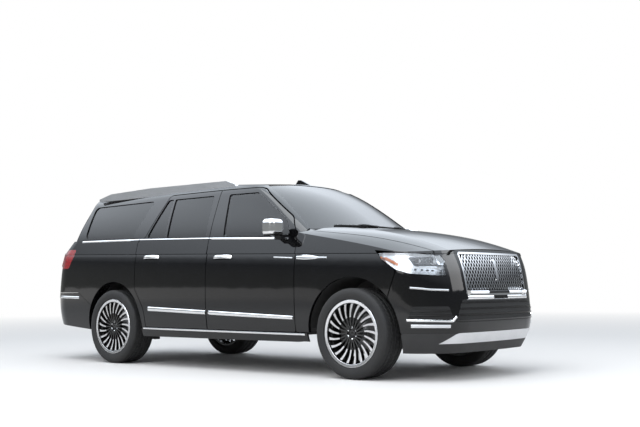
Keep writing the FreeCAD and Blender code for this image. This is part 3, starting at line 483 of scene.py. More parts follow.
SIDE_STRIP = [(-0.850, 0.596), (1.185, 0.528)]
STRIP_REAR, STRIP_LONG = -0.85, 2.03
for name, x0, x1, body in (
        ("side_strip_rear", -0.838, B_SHUT - GAP, "door_rear_{}"),
        ("side_strip_front", B_SHUT + GAP, FRONT_SHUT - 0.018, "door_front_{}")):
    path, normals = laid(sides, from_side, run_of(SIDE_STRIP, x0, x1), 0.04)
    width = [0.043 - 0.011 * (p.x - STRIP_REAR) / STRIP_LONG for p in path]
    both(name, *swept(path, normals, width, 0.009), chrome, body)

LEDGE = [(-0.940, 0.390), (1.355, 0.377)]
boards = surface("running_boards")
strip("step_ledge", boards, from_side, run_of(LEDGE, -0.925, 1.340), 0.017, 0.004, chrome, "body")

# Strips, lips and bars on the nose
nose = surface("front_bumper", "fenders", "headlamps", "front_valance")
# name, points (y, z), width, rise, material, section, step
for name, points, width, rise, mat, section, step in (
        ("nose_strip", [(0.905, 0.792), (0.815, 0.776), (0.690, 0.770)], 0.016, 0.007, chrome, CROWN, 0.02),
        ("fog_strip", [(0.900, 0.470), (0.690, 0.466)], 0.026, 0.005, satin, FLAT, 0.02),
        ("intake_lip", [(0.915, 0.518), (0.672, 0.510), (0.640, 0.545)], 0.020, 0.008, chrome, CROWN, 0.015),
        ("grille_sill", [(0.505, 0.706), (0.120, 0.706)], 0.030, 0.010, chrome, CROWN, 0.03)):
    strip(name, nose, from_front, points, width, rise, mat, "body", section, step)
strip("nose_bar", nose, from_front, [(-0.515, 0.688), (0.515, 0.688)], 0.008, 0.003, dark_chrome, "body",
      sides=False)

# Materials by place on a CAD node: rows of test and material, the first row that fits a face wins


def repaint(name, rows):
    obj = nodes[name]
    first = len(obj.data.materials)
    for row in rows:
        obj.data.materials.append(row[1])
    for polygon in obj.data.polygons:
        for i, row in enumerate(rows):
            if row[0](polygon.center, polygon.normal):
                polygon.material_index = first + i
                break


AXLES = {"front": 1.878, "rear": -1.464}
AXLE_Z, HALF_TRACK = 0.398, 0.855
BRAKE_REACH, HUB_REACH, RIM_REACH = 0.184, 0.145, 0.285


def wheel_looks(axle_x, s):
    """Brake disc behind the spokes, machined spoke faces and rim lip, and black in between."""
    def reach(c):
        return math.hypot(c.x - axle_x, c.z - AXLE_Z)

    return [(lambda c, n: s * c.y < 0.828 and reach(c) < BRAKE_REACH, disc_steel),
            (lambda c, n: s * n.y > 0.75 and reach(c) > HUB_REACH and s * c.y > 0.94, machined),
            (lambda c, n: s * n.y > 0.4 and reach(c) > RIM_REACH and s * c.y > 0.93, machined),
            (lambda c, n: True, wheel_black)]


for place, axle_x in AXLES.items():
    for side, s in SIDES:
        repaint("wheel_%s_%s" % (place, side), wheel_looks(axle_x, s))
for side, s in SIDES:
    repaint("mirror_" + side, [(lambda c, n: c.z < 1.30 or s * c.y < 1.02, gloss_plastic)])
    for place in ("front", "rear"):
        repaint("door_%s_%s" % (place, side), [(lambda c, n: s * n.y < -0.3 and c.z < 1.33, cabin_plastic)])
# The middle of the grille behind its mesh is painted near-black: painted shade for the dark inside of the
# opening
repaint("grille", [(lambda c, n: abs(c.y) < 0.490 and 0.745 < c.z < 1.078, painted_shade_black)])

# Tyres: the CAD tyre's section with four grooves and cut shoulder blocks
TYRE_STEPS, SIPE_DEPTH, TREAD_R = 240, 0.005, 0.3955


def tyre_mesh():
    half = [(0.1165, 0.281), (0.1165, 0.2975), (0.128, 0.3015), (0.1355, 0.306), (0.1395, 0.322),
            (0.1425, 0.345), (0.1405, 0.362), (0.1350, 0.378), (0.1270, 0.3890), (0.1180, 0.3945),
            (0.1060, 0.3975)]
    ribs = [(0.074, 0.398), (0.070, 0.390), (0.060, 0.390), (0.056, 0.398), (0.022, 0.398), (0.018, 0.390),
            (0.008, 0.390), (0.004, 0.398)]
    outer = half + ribs
    inner = [(-0.104, 0.2812), (-0.124, 0.318), (-0.118, 0.362), (-0.094, 0.376)]
    profile = []
    for run in (outer, inner):
        profile += run + [(-off, r) for off, r in reversed(run)]
    verts, faces = turned_profile(profile, TYRE_STEPS, (0, 0, 0))
    treads = [k for k, row in enumerate(profile) if row[1] > TREAD_R]
    for i in range(TYRE_STEPS):
        for k in treads:
            off, r = profile[k]
            phase = (i + (0 if off > 0 else 2)) % 4
            shoulder = abs(off) > 0.09 and phase == 0
            middle = 0.02 < abs(off) < 0.058 and phase == 1
            if shoulder or middle:
                x, y, z = verts[i * len(profile) + k]
                verts[i * len(profile) + k] = (x * (r - SIPE_DEPTH) / r, y, z * (r - SIPE_DEPTH) / r)
    return verts, faces


tyre_verts, tyre_faces = tyre_mesh()
for place, axle_x in AXLES.items():
    for side, s in SIDES:
        at = [(x + axle_x, y * s + s * HALF_TRACK, z + AXLE_Z) for x, y, z in tyre_verts]
        corner = "%s_%s" % (place, side)
        tyre = link("tyre_shell_" + corner, at, tyre_faces, tyre_rubber, "wheel_" + corner, 28)
        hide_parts("tyre_" + corner)

# Wheel nuts and centre cap: profiles of (offset along the axle, radius)
NUTS, NUT_CIRCLE, HUB_Y = 6, 0.051, 0.944
NUT_PROFILE = [(0.0, 0.0), (0.0, 0.0105), (0.017, 0.0105), (0.021, 0.007), (0.021, 0.0)]
CAP_PROFILE = [(0.0, 0.0), (0.0, 0.034), (0.010, 0.034), (0.014, 0.031), (0.0125, 0.026), (0.0135, 0.012),
               (0.014, 0.0)]


def wheel_fittings(axle_x):
    nuts = []
    for i in range(NUTS):
        a = math.radians(60 * i + 30)
        centre = (axle_x + NUT_CIRCLE * math.cos(a), HUB_Y, AXLE_Z + NUT_CIRCLE * math.sin(a))
        nuts.append(turned_profile(NUT_PROFILE, 6, centre))
    return joined(*nuts), turned_profile(CAP_PROFILE, 40, (axle_x, HUB_Y, AXLE_Z))


for place, axle_x in AXLES.items():
    nuts, cap = wheel_fittings(axle_x)
    both("wheel_nuts_" + place, *nuts, chrome, "wheel_%s_{}" % place)
    both("hub_cap_" + place, *cap, gloss_plastic, "wheel_%s_{}" % place)

# Plain bars for the badges, and the rear's strips, lamp band and blank plate
strip("badge_door", sides, from_side, [(0.965, 1.090), (1.196, 1.078)], 0.012, 0.005, chrome, "door_front_{}")
path, normals = laid(sides, from_side, [(1.245, 1.084), (1.600, 1.070)], 0.02)
shares = [min(i / (len(path) - 1) + 0.25, 1.0) for i in range(len(path))]
width = [0.014 + 0.030 * math.sin(math.pi * share) for share in shares]
both("badge_fender", *swept(path, normals, width, 0.007), chrome, "body")

rear_side = surface("rear_bumper", "body_sides")
strip("rear_strip_side", rear_side, from_side, [(-2.105, 0.712), (-2.500, 0.720)], 0.026, 0.007, chrome,
      "body")
rear = surface("rear_bumper")
gate = surface("liftgate", "liftgate_glass")
# name, surface, half length, height, width, rise, material, body, section, step
for name, tree, half, z, width, rise, mat, body, section, step in (
        ("rear_strip_back", rear, 0.860, 0.722, 0.026, 0.007, chrome, "body", CROWN, 0.03),
        ("gate_lamp", gate, 0.862, 1.148, 0.140, 0.008, red_lens, "liftgate", FLAT, 0.02),
        ("gate_bar_top", gate, 0.866, 1.222, 0.014, 0.011, chrome, "liftgate", CROWN, 0.02),
        ("gate_bar_low", gate, 0.866, 1.074, 0.014, 0.011, chrome, "liftgate", CROWN, 0.02),
        ("plate_trim", gate, 0.190, 1.000, 0.030, 0.012, chrome, "liftgate", CROWN, 0.03)):
    strip(name, tree, from_back, [(-half, z), (half, z)], width, rise, mat, body, section, step, sides=False)

PLATE_HALF, PLATE_LOW, PLATE_HIGH = 0.150, 0.845, 0.955
SCREW_Y, SCREW_Z, SCREW_R, SCREW_LONG = 0.11, 0.940, 0.005, 0.003


def turned_pin(at, radius, length, steps=14):
    """Small domed disc facing back."""
    x, y, z = at
    verts = [(x - length, y, z)]
    rings = ((1.0, 0.0), (1.0, 0.6), (0.7, 1.0))
    for wide, out in rings:
        for k in range(steps):
            a = 2 * math.pi * k / steps
            verts.append((x - length * out, y + radius * wide * math.cos(a), z + radius * wide * math.sin(a)))
    faces = band_faces(len(rings), steps, first=1)
    last = 1 + (len(rings) - 1) * steps
    faces += [(last + k, last + (k + 1) % steps, 0) for k in range(steps)]
    faces.append(tuple(range(1, 1 + steps)))
    return verts, faces


def blank_plate():
    """Rear number plate, left blank, on the liftgate's skin."""
    x = from_back(gate, 0.0, 0.900)[0].x
    plate = block(x - 0.010, x - 0.004, -PLATE_HALF, PLATE_HALF, PLATE_LOW, PLATE_HIGH, 0.002)
    link("plate_blank", *plate, plate_white, "liftgate")
    screws = [turned_pin((x - 0.012, y, SCREW_Z), SCREW_R, SCREW_LONG) for y in (-SCREW_Y, SCREW_Y)]
    link("plate_screws", *joined(*screws), satin, "liftgate")


blank_plate()

# Wipers, parked along the foot of the windscreen
screen = surface("fixed_glass")
WIPER_LONG, BLADE_STEPS, BLADE_UP, ARM_UP = 0.56, 8, 0.034, 0.020


def screen_foot(y):
    """Foremost x of the windscreen at a width, seen from above."""
    x = 1.90
    while from_above(screen, x, y)[0] is None:
        x -= 0.005
    return x


def wiper(name, pivot_y):
    blade = []
    normals = []
    for i in range(BLADE_STEPS + 1):
        y = pivot_y - 0.03 - WIPER_LONG * i / BLADE_STEPS
        place, normal = from_above(screen, screen_foot(y) - BLADE_UP, y)
        blade.append(place + normal * 0.004)
        normals.append(normal)
    foot, foot_normal = from_above(screen, screen_foot(pivot_y) - 0.006, pivot_y)
    start = foot + foot_normal * 0.006
    half = BLADE_STEPS // 2
    end = blade[half] + normals[half] * 0.014
    rise = start.lerp(end, 0.2) + normals[2] * ARM_UP
    fall = start.lerp(end, 0.8) + normals[3] * 0.014
    arm = swept([start, rise, fall, end], [normals[2]] * 4, 0.016, 0.008, FLAT)
    link(name, *joined(arm, swept(blade, normals, 0.011, 0.015, FLAT)), black_plastic, "body")


wiper("wiper_left", 0.60)
wiper("wiper_right", 0.02)

# Patches of skin, and panels with rounded corners laid on a surface


def patch_faces(rows, columns):
    wide = columns + 1
    return [[r * wide + k, r * wide + k + 1, (r + 1) * wide + k + 1, (r + 1) * wide + k]
            for r in range(rows - 1) for k in range(columns)]


def patch_rim(rows, columns, outer_end=True):
    """Edge of a grid patch all round, or open at its far end."""
    wide, last = columns + 1, rows - 1
    rim = [[k, k + 1] for k in range(columns)]
    rim += [[last * wide + k + 1, last * wide + k] for k in range(columns)]
    rim += [[(r + 1) * wide, r * wide] for r in range(last)]
    if outer_end:
        rim += [[r * wide + columns, (r + 1) * wide + columns] for r in range(last)]
    return rim


def rounded_rows(low, high, radius, count=18):
    """Rows (v, u0, u1) of a four-sided patch; low and high are its bottom and top rows."""
    rows = []
    (v0, a0, b0), (v1, a1, b1) = low, high
    for i in range(count + 1):
        t = 0.5 - 0.5 * math.cos(math.pi * i / count)
        v = v0 + (v1 - v0) * t
        short = radius - min(v - v0, v1 - v, radius)
        inset = radius - math.sqrt(max(radius ** 2 - short ** 2, 0.0))
        rows.append((v, a0 + (a1 - a0) * t + inset, b0 + (b1 - b0) * t - inset))
    return rows


def grid_patch(tree, cast, rows, columns):
    verts = []
    normals = []
    for v, u0, u1 in rows:
        for k in range(columns + 1):
            place, normal = cast(tree, u0 + (u1 - u0) * k / columns, v)
            verts.append(place)
            normals.append(normal)
    return verts, normals, patch_faces(len(rows), columns), patch_rim(len(rows), columns)


def skin_patch(name, inside, limit=30.0):
    """Outer skin of a node's solid: the faces that run on smoothly from the seed faces."""
    form = bmesh.new()
    form.from_mesh(nodes[name].data)
    bmesh.ops.remove_doubles(form, verts=form.verts, dist=1e-5)
    form.normal_update()
    seeds = [f for f in form.faces if inside(f.calc_center_median(), f.normal)]
    kept = set(seeds)
    while seeds:
        face = seeds.pop()
        for edge in face.edges:
            for other in edge.link_faces:
                if other not in kept and face.normal.angle(other.normal, 3.2) < math.radians(limit):
                    kept.add(other)
                    seeds.append(other)
    bmesh.ops.delete(form, geom=[f for f in form.faces if f not in kept], context="FACES")
    form.normal_update()
    form.verts.ensure_lookup_table()
    form.verts.index_update()
    verts = [v.co.copy() for v in form.verts]
    normals = [v.normal.copy() for v in form.verts]
    faces = [[v.index for v in f.verts] for f in form.faces]
    rim = [[v.index for v in e.verts] for e in form.edges if len(e.link_faces) == 1]
    form.free()
    return verts, normals, faces, rim


def two_depths(verts, normals, top, bottom):
    return [v + n * depth for depth in (top, bottom) for v, n in zip(verts, normals)]


def offset_shell(patch, top, bottom=-0.001):
    """Closed sheet between two heights over a skin patch."""
    verts, normals, faces, rim = patch
    count = len(verts)
    sheet = [list(f) for f in faces] + [[count + i for i in reversed(f)] for f in faces]
    sheet += [[a, b, count + b, count + a] for a, b in rim]
    return two_depths(verts, normals, top, bottom), sheet


def cup(patch, top, floor):
    """Walls and floor of a housing: the rim stays near the skin, the floor lies deeper."""
    verts, normals, faces, rim = patch
    count = len(verts)
    sheet = [[count + i for i in f] for f in faces] + [[a, b, count + b, count + a] for a, b in rim]
    return two_depths(verts, normals, top, floor), sheet


def panel_on(tree, cast, rows, columns, top=0.0015, bottom=-0.001):
    """A thin panel laid on a surface."""
    return offset_shell(grid_patch(tree, cast, rows, columns), top, bottom)


# Headlamps: a clear cover made of the lamp's own skin over a bright housing, and at its inner end
# a bridge of skin up to the bumper, because the lamp solid ends short of it
beside_lamp = surface("front_bumper", "headlamps")
GAP_LOW, GAP_HIGH, GAP_ROWS, GAP_COLUMNS = 0.925, 1.066, 14, 16
LAMP_DEPTH = 0.045
COVER_TOP, COVER_BOTTOM = -0.0005, -0.0035


def gap_end(z, y, step):
    """Last point of the nose skin before the gap at a height, with its slope dx/dy."""
    before = here = from_front(beside_lamp, y, z)[0]
    while True:
        ahead = from_front(beside_lamp, here.y + step, z)[0]
        if ahead is None or abs(ahead.x - here.x) > 0.012:
            return here.y, here.x, (here.x - before.x) / (here.y - before.y)
        before, here = here, ahead


def bridged(ends, y):
    """Cubic between the two ends of the gap, running on smoothly from both."""
    (y0, x0, s0), (y1, x1, s1) = ends
    wide = y1 - y0
    t = (y - y0) / wide
    return (x0 * (1 + 2 * t) * (1 - t) ** 2 + s0 * wide * t * (1 - t) ** 2
            + x1 * t * t * (3 - 2 * t) + s1 * wide * t * t * (t - 1))


def lamp_line(z):
    """Inner edge of the lamp on the nose."""
    return 0.662 + 0.12 * max(z - 0.94, 0.0) + 0.45 * max(z - 1.008, 0.0)


def bridge_patch(lamp_part, outer_end=True):
    """Skin patch over the gap: the lamp's share, or the painted share beside it."""
    rows = []
    for i in range(GAP_ROWS + 1):
        z = GAP_LOW + (GAP_HIGH - GAP_LOW) * i / GAP_ROWS
        ends = gap_end(z, 0.600, 0.002), gap_end(z, 0.860, -0.002)
        inner, outer = ends[0][0], ends[1][0]
        line = min(max(lamp_line(z), inner), outer)
        low, high = (line, outer) if lamp_part else (inner, line)
        if outer - inner > 0.004 and high - low > 0.001:
            ys = [low + (high - low) * k / GAP_COLUMNS for k in range(GAP_COLUMNS + 1)]
            rows.append([Vector((bridged(ends, y), y, z)) for y in ys])
    verts = [v for row in rows for v in row]
    normals = []
    for r, row in enumerate(rows):
        for k in range(GAP_COLUMNS + 1):
            across = row[min(k + 1, GAP_COLUMNS)] - row[max(k - 1, 0)]
            rise = rows[min(r + 1, len(rows) - 1)][k] - rows[max(r - 1, 0)][k]
            normals.append(across.cross(rise).normalized())
    if normals[0].x < 0:
        normals = [-n for n in normals]
    count = len(rows)
    return verts, normals, patch_faces(count, GAP_COLUMNS), patch_rim(count, GAP_COLUMNS, outer_end)


def on_lamp_front(c, n):
    """Whether a face of the left headlamp, by its middle and normal, belongs to its outer skin."""
    return c.y > 0.75 and 0.90 < c.z < 1.05 and n.x > 0.3 and n.y > -0.1


lamp_skin = skin_patch("headlamps", on_lamp_front)
both("nose_corner", *offset_shell(bridge_patch(False), 0.0, -0.0025), paint, "body")
both("headlamp_cover", *offset_shell(lamp_skin, COVER_TOP, COVER_BOTTOM), lens_clear, "body")
both("headlamp_cover_end", *offset_shell(bridge_patch(True), COVER_TOP, COVER_BOTTOM), lens_clear, "body")


def beside_gap(edge):
    """Whether a rim edge of the lamp's skin borders the gap, where its housing stays open."""
    middle = (lamp_skin[0][edge[0]] + lamp_skin[0][edge[1]]) / 2
    if middle.y > 0.80 or not GAP_LOW < middle.z < GAP_HIGH:
        return False
    return from_front(beside_lamp, middle.y - 0.006, middle.z)[0] is None


cup_rim = [edge for edge in lamp_skin[3] if not beside_gap(edge)]
lamp_cup = cup((*lamp_skin[:3], cup_rim), -0.001, -LAMP_DEPTH)
end_cup = cup(bridge_patch(True, outer_end=False), -0.001, -LAMP_DEPTH)
lamp_bowl = joined(lamp_cup, end_cup)
housing_tree = BVHTree.FromPolygons(*lamp_bowl)
for piece in both("headlamp_housing", *lamp_bowl, lamp_bright, "body"):
    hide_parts("headlamps")


# Projectors: places (y, z), and profiles of (share of the depth, share of the radius)
PROJECTORS = ((0.735, 1.010), (0.815, 1.018))
PROJECTOR_R, PROJECTOR_DEPTH, PROJECTOR_STEPS = 0.027, 0.030, 32
RING_PROFILE = [(-0.3, 1.0), (0.55, 1.06), (1.0, 1.0), (0.98, 0.86), (0.35, 0.80), (0.15, 0.30)]
DOME_TURNS = [math.pi / 2 * i / 7 for i in range(7)]
DOME_PROFILE = [(0.2 + 0.7 * math.sin(a), 0.78 * math.cos(a)) for a in DOME_TURNS]


def projector_part(y, z, profile):
    """Turned form that faces forward on the housing's floor."""
    floor_x = from_front(housing_tree, y, z)[0].x
    verts = []
    for out, wide in profile:
        for k in range(PROJECTOR_STEPS):
            a = 2 * math.pi * k / PROJECTOR_STEPS
            across, up = PROJECTOR_R * wide * math.cos(a), PROJECTOR_R * wide * math.sin(a)
            verts.append((floor_x + PROJECTOR_DEPTH * out, y + across, z + up))
    last = (len(profile) - 1) * PROJECTOR_STEPS
    front = tuple(last + k for k in range(PROJECTOR_STEPS))
    return verts, band_faces(len(profile), PROJECTOR_STEPS) + [front]


for name, profile, mat in (("headlamp_rings", RING_PROFILE, chrome),
                           ("headlamp_domes", DOME_PROFILE, lens_white)):
    both(name, *joined(*[projector_part(y, z, profile) for y, z in PROJECTORS]), mat, "body")

POCKETS = [(0.838 - 0.030 * i, 0.946 - 0.003 * i) for i in range(6)]
WINDOW_ROWS = rounded_rows((0.972, 0.690, 0.838), (1.052, 0.722, 0.852), 0.012)


def headlamp_inside():
    tree = housing_tree
    bits = []
    for y, z in POCKETS:
        x = from_front(tree, y, z)[0].x
        bits.append(block(x - 0.004, x + 0.010, y - 0.010, y + 0.010, z - 0.006, z + 0.006, 0.002))
    both("headlamp_leds", *joined(*bits), gloss_plastic, "body")
    both("headlamp_window", *panel_on(tree, from_front, WINDOW_ROWS, 24), gloss_plastic, "body")
    for name, cast, points, wide, mat in (
            ("headlamp_blade", from_front, [(0.845, 0.964), (0.690, 0.957)], 0.009, lens_white),
            ("headlamp_amber", from_side, [(2.170, 1.060), (2.330, 0.990)], 0.026, amber)):
        strip(name, tree, cast, points, wide, 0.008, mat, "body", FLAT, 0.01)


headlamp_inside()

# Panels laid on the nose
bumper = surface("front_bumper")
valance = surface("front_valance", "front_bumper")
CENTRE_MOUTH = rounded_rows((0.500, -0.650, 0.650), (0.690, -0.575, 0.575), 0.030)
SIDE_MOUTH = rounded_rows((0.524, 0.668, 0.916), (0.634, 0.698, 0.902), 0.014)
# The intake mouths are closed with near-black panels under their slats: painted shade for the dark inside of
# the openings
link("intake_panel", *panel_on(bumper, from_front, CENTRE_MOUTH, 40), painted_shade_black, "body")
both("intake_panel_side", *panel_on(bumper, from_front, SIDE_MOUTH, 14), painted_shade_black, "body")
for name, heights, mouth, make in (("intake_slats", (0.513, 0.562, 0.614, 0.666), CENTRE_MOUTH, link),
                                   ("intake_slats_side", (0.562, 0.598), SIDE_MOUTH, both)):
    bars = []
    for z in heights:
        row = min(mouth, key=lambda r: abs(r[0] - z))
        bars.append(bar_on(bumper, from_front, [(row[1], z), (row[2], z)], 0.016, 0.005, FLAT))
    make(name, *joined(*bars), gloss_plastic, "body")
# height, half width
SKID = ((0.319, 0.735), (0.338, 0.712), (0.360, 0.684), (0.382, 0.655), (0.398, 0.630), (0.408, 0.600))
SKID_ROWS = [(z, -half, half) for z, half in SKID]
link("skid_panel", *panel_on(valance, from_front, SKID_ROWS, 48, 0.003), satin, "body")

# Grille: two families of slanting bars, the bars under them, and a plain bar in the middle
grille_tree = surface("grille")
MESH_LOW, MESH_HIGH, MESH_PITCH, MESH_SLANT = 0.770, 1.080, 0.040, 1.5
MESH_REACH, MESH_STEPS = 18, 40


def mesh_half(z):
    return 0.492 + 0.012 * (z - MESH_LOW) / (MESH_HIGH - MESH_LOW)


mesh_bars = []
for k in range(-MESH_REACH, MESH_REACH + 1):
    for lean in (-1, 1):
        points = []
        for i in range(MESH_STEPS + 1):
            z = MESH_LOW + (MESH_HIGH - MESH_LOW) * i / MESH_STEPS
            y = k * MESH_PITCH + lean * (z - MESH_LOW) / MESH_SLANT
            if abs(y) <= mesh_half(z):
                points.append((y, z))
        if len(points) > 3:
            ends = [points[0], points[-1]]
            mesh_bars.append(bar_on(grille_tree, from_front, ends, 0.0085, 0.020, FLAT, 0.05))
link("grille_mesh", *joined(*mesh_bars), chrome, "body")
strip("grille_bar", grille_tree, from_front, [(0.498, 0.745), (0.175, 0.745)], 0.044, 0.034, chrome, "body",
      step=0.04)
strip("grille_centre", grille_tree, from_front, [(-0.170, 0.745), (0.170, 0.745)], 0.050, 0.030,
      gloss_plastic, "body", step=0.04, sides=False)
EMBLEM_ROWS = rounded_rows((0.850, -0.019, 0.019), (1.030, -0.019, 0.019), 0.010)
link("emblem_place", *panel_on(grille_tree, from_front, EMBLEM_ROWS, 8, 0.030, 0.012), chrome, "body")

# Door handles: a bar that leaves the door at both ends
HANDLE_RISE = [0.0, 0.016, 0.026, 0.031, 0.032, 0.032, 0.032, 0.031, 0.026, 0.016, 0.0]
HANDLE_HALF, RECESS_HALF, RECESS_UP, RECESS_R = 0.1225, 0.085, 0.024, 0.022
for place, middle in (("front", 0.285), ("rear", -0.800)):
    door = "door_%s_{}" % place
    z = 1.113 - 0.0255 * middle
    path, normals = laid(sides, from_side, [(middle - HANDLE_HALF, z), (middle + HANDLE_HALF, z)], 0.0245)
    path = [p + n * rise for p, n, rise in zip(path, normals, HANDLE_RISE)]
    both("door_handle_" + place, *swept(path, normals, 0.034, 0.012), chrome, door)
    low, high = [(z + up, middle - RECESS_HALF, middle + RECESS_HALF) for up in (-RECESS_UP, RECESS_UP)]
    recess = panel_on(sides, from_side, rounded_rows(low, high, RECESS_R), 10, 0.0008)
    both("handle_recess_" + place, *recess, gloss_plastic, door)

# Seats: crowned leather cushions with stitched channels, in place of the plain seat solids


def cushion(size, radius, crown, channels, bolster, cuts):
    """Padded block about its own middle: size in x, y, z; its top (+z) is crowned, with cross channels."""
    form = bmesh.new()
    bmesh.ops.create_cube(form, size=1.0)
    bmesh.ops.subdivide_edges(form, edges=form.edges[:], cuts=cuts, use_grid_fill=True)
    lx, ly, lz = size
    for v in form.verts:
        x, y, z = v.co
        full = Vector((x * lx, y * ly, z * lz))
        core = Vector([max(min(c, d / 2 - radius), radius - d / 2) for c, d in zip(full, size)])
        away = full - core
        place = core + away.normalized() * radius if away.length > 1e-6 else full
        swell = max(0.0, 1 - (2 * x) ** 4) * max(0.0, 1 - (2 * y) ** 4)
        if z > 0.49:
            place.z += crown * swell
            edge = min(abs(abs(2 * y) - bolster) / 0.09, 1.0)
            place.z -= 0.010 * (1 - edge) * min(1.0, 8 * swell)
            if abs(2 * y) < bolster:
                for at in channels:
                    near = min(abs(x - at) * lx / 0.022, 1.0)
                    place.z -= 0.009 * (1 - near) * min(1.0, 8 * swell)
            else:
                place.z += 0.012 * (1 - abs(2 * x) ** 3)
        v.co = place
    return as_lists(form)


SEAT_FLOOR, BACK_LEAN = 0.692, math.radians(18.0)
SEAT_THICK, SEAT_R, SEAT_CUTS = 0.142, 0.044, 26
CHANNELS = [-0.32, -0.16, 0.0, 0.16, 0.32]
HEAD_REST, HEAD_REST_R, HEAD_REST_CUTS = (0.168, 0.256, 0.094), 0.036, 12
POST_Y, POST_LOW, POST_HIGH, POST_R = 0.06, 0.600, 0.680, 0.006
BASE_INSET = 0.072


def seat_parts(x, y, width):
    single = width < 0.8
    bolster = 0.66 if single else 0.88
    lean = Matrix.Translation((x, y, SEAT_FLOOR + 0.250)) @ Matrix.Rotation(-BACK_LEAN, 4, "Y")
    upright = Matrix.Rotation(math.pi / 2, 4, "Y")
    low = cushion((0.515, width - 0.006, SEAT_THICK), SEAT_R, 0.020, CHANNELS, bolster, SEAT_CUTS)
    back = cushion((0.690, width - 0.006, SEAT_THICK), SEAT_R, 0.018, CHANNELS, bolster, SEAT_CUTS)
    soft = [moved(low, Matrix.Translation((x + 0.260, y, SEAT_FLOOR + 0.243))),
            moved(back, lean @ Matrix.Translation((-0.045, 0, 0.290)) @ upright)]
    posts = []
    for m in [0.0] if single else [-width / 2 + 0.210, width / 2 - 0.210]:
        head = cushion(HEAD_REST, HEAD_REST_R, 0.010, [], 0.9, HEAD_REST_CUTS)
        soft.append(moved(head, lean @ Matrix.Translation((-0.040, m, 0.735)) @ upright))
        for side in (-1, 1):
            ends = [lean @ Vector((-0.040, m + POST_Y * side, z)) for z in (POST_LOW, POST_HIGH)]
            posts.append(tube(ends, POST_R))
    half = width / 2 - BASE_INSET
    base = block(x + 0.062, x + 0.438, y - half, y + half, SEAT_FLOOR + 0.001, SEAT_FLOOR + 0.180, 0.012)
    return joined(*soft), joined(*posts), base


for name, x, y, width in (("front_left", 0.160, 0.400, 0.540), ("front_right", 0.160, -0.400, 0.540),
                          ("middle_left", -0.790, 0.400, 0.540), ("middle_right", -0.790, -0.400, 0.540),
                          ("rear_bench", -1.640, 0.0, 1.240)):
    soft, posts, base = seat_parts(x, y, width)
    piece = link("seat_" + name, *soft, leather, "body", 60)
    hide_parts("seats")
    link("seat_posts_" + name, *posts, chrome, "body")
    link("seat_base_" + name, *base, cabin_plastic, "body")

# Cabin: screens and air vents
dash = surface("dashboard")


def from_cabin(tree, y, z):
    return hit(tree, (0.60, y, z), (1, 0, 0))


SCREEN_ROWS = rounded_rows((0.985, -0.150, 0.150), (1.120, -0.150, 0.150), 0.010)
DISPLAY_ROWS = rounded_rows((1.030, 0.250, 0.550), (1.140, 0.250, 0.550), 0.020)
link("centre_screen", *panel_on(dash, from_cabin, SCREEN_ROWS, 8, 0.006), gloss_plastic, "body")
link("driver_display", *panel_on(dash, from_cabin, DISPLAY_ROWS, 8, 0.006), gloss_plastic, "body")
VENT_HALF, VENT_Z, VENT_PITCH = 0.055, 1.128, 0.011
vents = []
for y in (-0.62, -0.22, 0.22, 0.66):
    for i in range(5):
        z = VENT_Z + VENT_PITCH * i
        path, normals = laid(dash, from_cabin, [(y - VENT_HALF, z), (y + VENT_HALF, z)])
        if len(path) > 1:
            vents.append(swept(path, normals, 0.004, 0.006, FLAT))
link("dash_vents", *joined(*vents), satin, "body")

# Camera, at the photograph's viewing point
CAMERA_AT = Vector((7.208, -7.606, 0.795))
FOCAL_LENGTH, SENSOR_WIDTH = 54.44, 36.0
YAW, PITCH, ROLL = math.radians(130.556), math.radians(4.419), math.radians(-0.491)
ahead = Vector((math.cos(YAW) * math.cos(PITCH), math.sin(YAW) * math.cos(PITCH), math.sin(PITCH)))
right = ahead.cross(Vector((0, 0, 1))).normalized()
up = right.cross(ahead)
turned_right = right * math.cos(ROLL) + up * math.sin(ROLL)
turned_up = up * math.cos(ROLL) - right * math.sin(ROLL)
lens = bpy.data.cameras.new("camera")
lens.lens = FOCAL_LENGTH
lens.sensor_width = SENSOR_WIDTH
lens.clip_end = 200.0
camera = bpy.data.objects.new("camera", lens)
turn = Matrix((turned_right, turned_up, -ahead)).transposed().to_4x4()
camera.matrix_world = Matrix.Translation(CAMERA_AT) @ turn
bpy.context.scene.collection.objects.link(camera)
bpy.context.scene.camera = camera
bpy.context.scene.view_settings.view_transform = "Standard"

# Pale floor that fades to white far off, white surroundings, and soft lamps
FLOOR_SIZE, FADE_START, FADE_END = 160, 7.0, 22.0


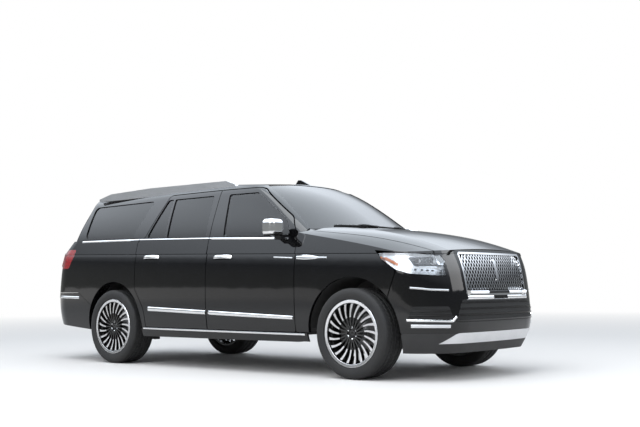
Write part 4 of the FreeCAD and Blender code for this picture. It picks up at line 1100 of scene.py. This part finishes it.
def studio():
    mat, tree, shader = new_material("floor")
    shader.inputs["Roughness"].default_value = 0.75
    shader.inputs["Base Color"].default_value = (0.80, 0.80, 0.80, 1)
    place = tree.nodes.new("ShaderNodeNewGeometry")
    length = tree.nodes.new("ShaderNodeVectorMath")
    length.operation = "LENGTH"
    tree.links.new(place.outputs["Position"], length.inputs[0])
    fade = ramp(tree, length.outputs["Value"], 0, 1, FADE_START, FADE_END)
    white = add(tree, "ShaderNodeEmission", Color=(1, 1, 1, 1), Strength=1.0)
    mix = tree.nodes.new("ShaderNodeMixShader")
    tree.links.new(fade, mix.inputs["Fac"])
    tree.links.new(shader.outputs["BSDF"], mix.inputs[1])
    tree.links.new(white.outputs["Emission"], mix.inputs[2])
    tree.links.new(mix.outputs["Shader"], tree.nodes["Material Output"].inputs["Surface"])
    bpy.ops.mesh.primitive_plane_add(size=FLOOR_SIZE, location=(0, 0, 0))
    ground = bpy.context.object
    ground.name = "floor"
    ground.data.materials.append(mat)

    world = bpy.data.worlds.new("studio")
    bpy.context.scene.world = world
    world.use_nodes = True
    tree = world.node_tree
    seen = tree.nodes["Background"]
    seen.inputs["Color"].default_value = (1, 1, 1, 1)
    seen.inputs["Strength"].default_value = 1.0
    light = add(tree, "ShaderNodeBackground", Color=(0.93, 0.96, 1.0, 1), Strength=0.55)
    mirrored_sky = add(tree, "ShaderNodeBackground", Strength=1.0)
    where = tree.nodes.new("ShaderNodeTexCoord")
    parts = tree.nodes.new("ShaderNodeSeparateXYZ")
    sky = tree.nodes.new("ShaderNodeValToRGB")
    tree.links.new(where.outputs["Generated"], parts.inputs["Vector"])
    tree.links.new(parts.outputs["Z"], sky.inputs["Fac"])
    tree.links.new(sky.outputs["Color"], mirrored_sky.inputs["Color"])
    bands = sky.color_ramp.elements
    bands[0].position, bands[0].color = 0.0, (0.30, 0.31, 0.30, 1)
    bands[1].position, bands[1].color = 1.0, (3.0, 3.3, 3.6, 1)
    for height, level in ((0.17, 0.22), (0.26, 0.6), (0.36, 1.8), (0.52, 3.0)):
        band = bands.new(height)
        band.color = (level * 0.9, level * 0.97, level * 1.06, 1)
    path = tree.nodes.new("ShaderNodeLightPath")
    straight = tree.nodes.new("ShaderNodeMixShader")
    mirror = tree.nodes.new("ShaderNodeMixShader")
    tree.links.new(path.outputs["Is Camera Ray"], straight.inputs["Fac"])
    tree.links.new(light.outputs["Background"], straight.inputs[1])
    tree.links.new(seen.outputs["Background"], straight.inputs[2])
    tree.links.new(path.outputs["Is Glossy Ray"], mirror.inputs["Fac"])
    tree.links.new(straight.outputs["Shader"], mirror.inputs[1])
    tree.links.new(mirrored_sky.outputs["Background"], mirror.inputs[2])
    tree.links.new(mirror.outputs["Shader"], tree.nodes["World Output"].inputs["Surface"])

    for name, place, aim, size, power in (
            ("lamp above", (1.0, -3.0, 8.0), (0, 0, 0.8), 7.0, 420.0),
            ("lamp side", (2.0, -9.0, 4.5), (0.5, 0, 0.8), 5.0, 260.0),
            ("lamp front", (9.0, 2.0, 4.0), (1.0, 0, 0.8), 4.0, 160.0)):
        data = bpy.data.lights.new(name, "AREA")
        data.size = size
        data.energy = power
        lamp = bpy.data.objects.new(name, data)
        lamp.location = place
        lamp.rotation_euler = (Vector(aim) - Vector(place)).to_track_quat("-Z", "Y").to_euler()
        bpy.context.scene.collection.objects.link(lamp)


studio()
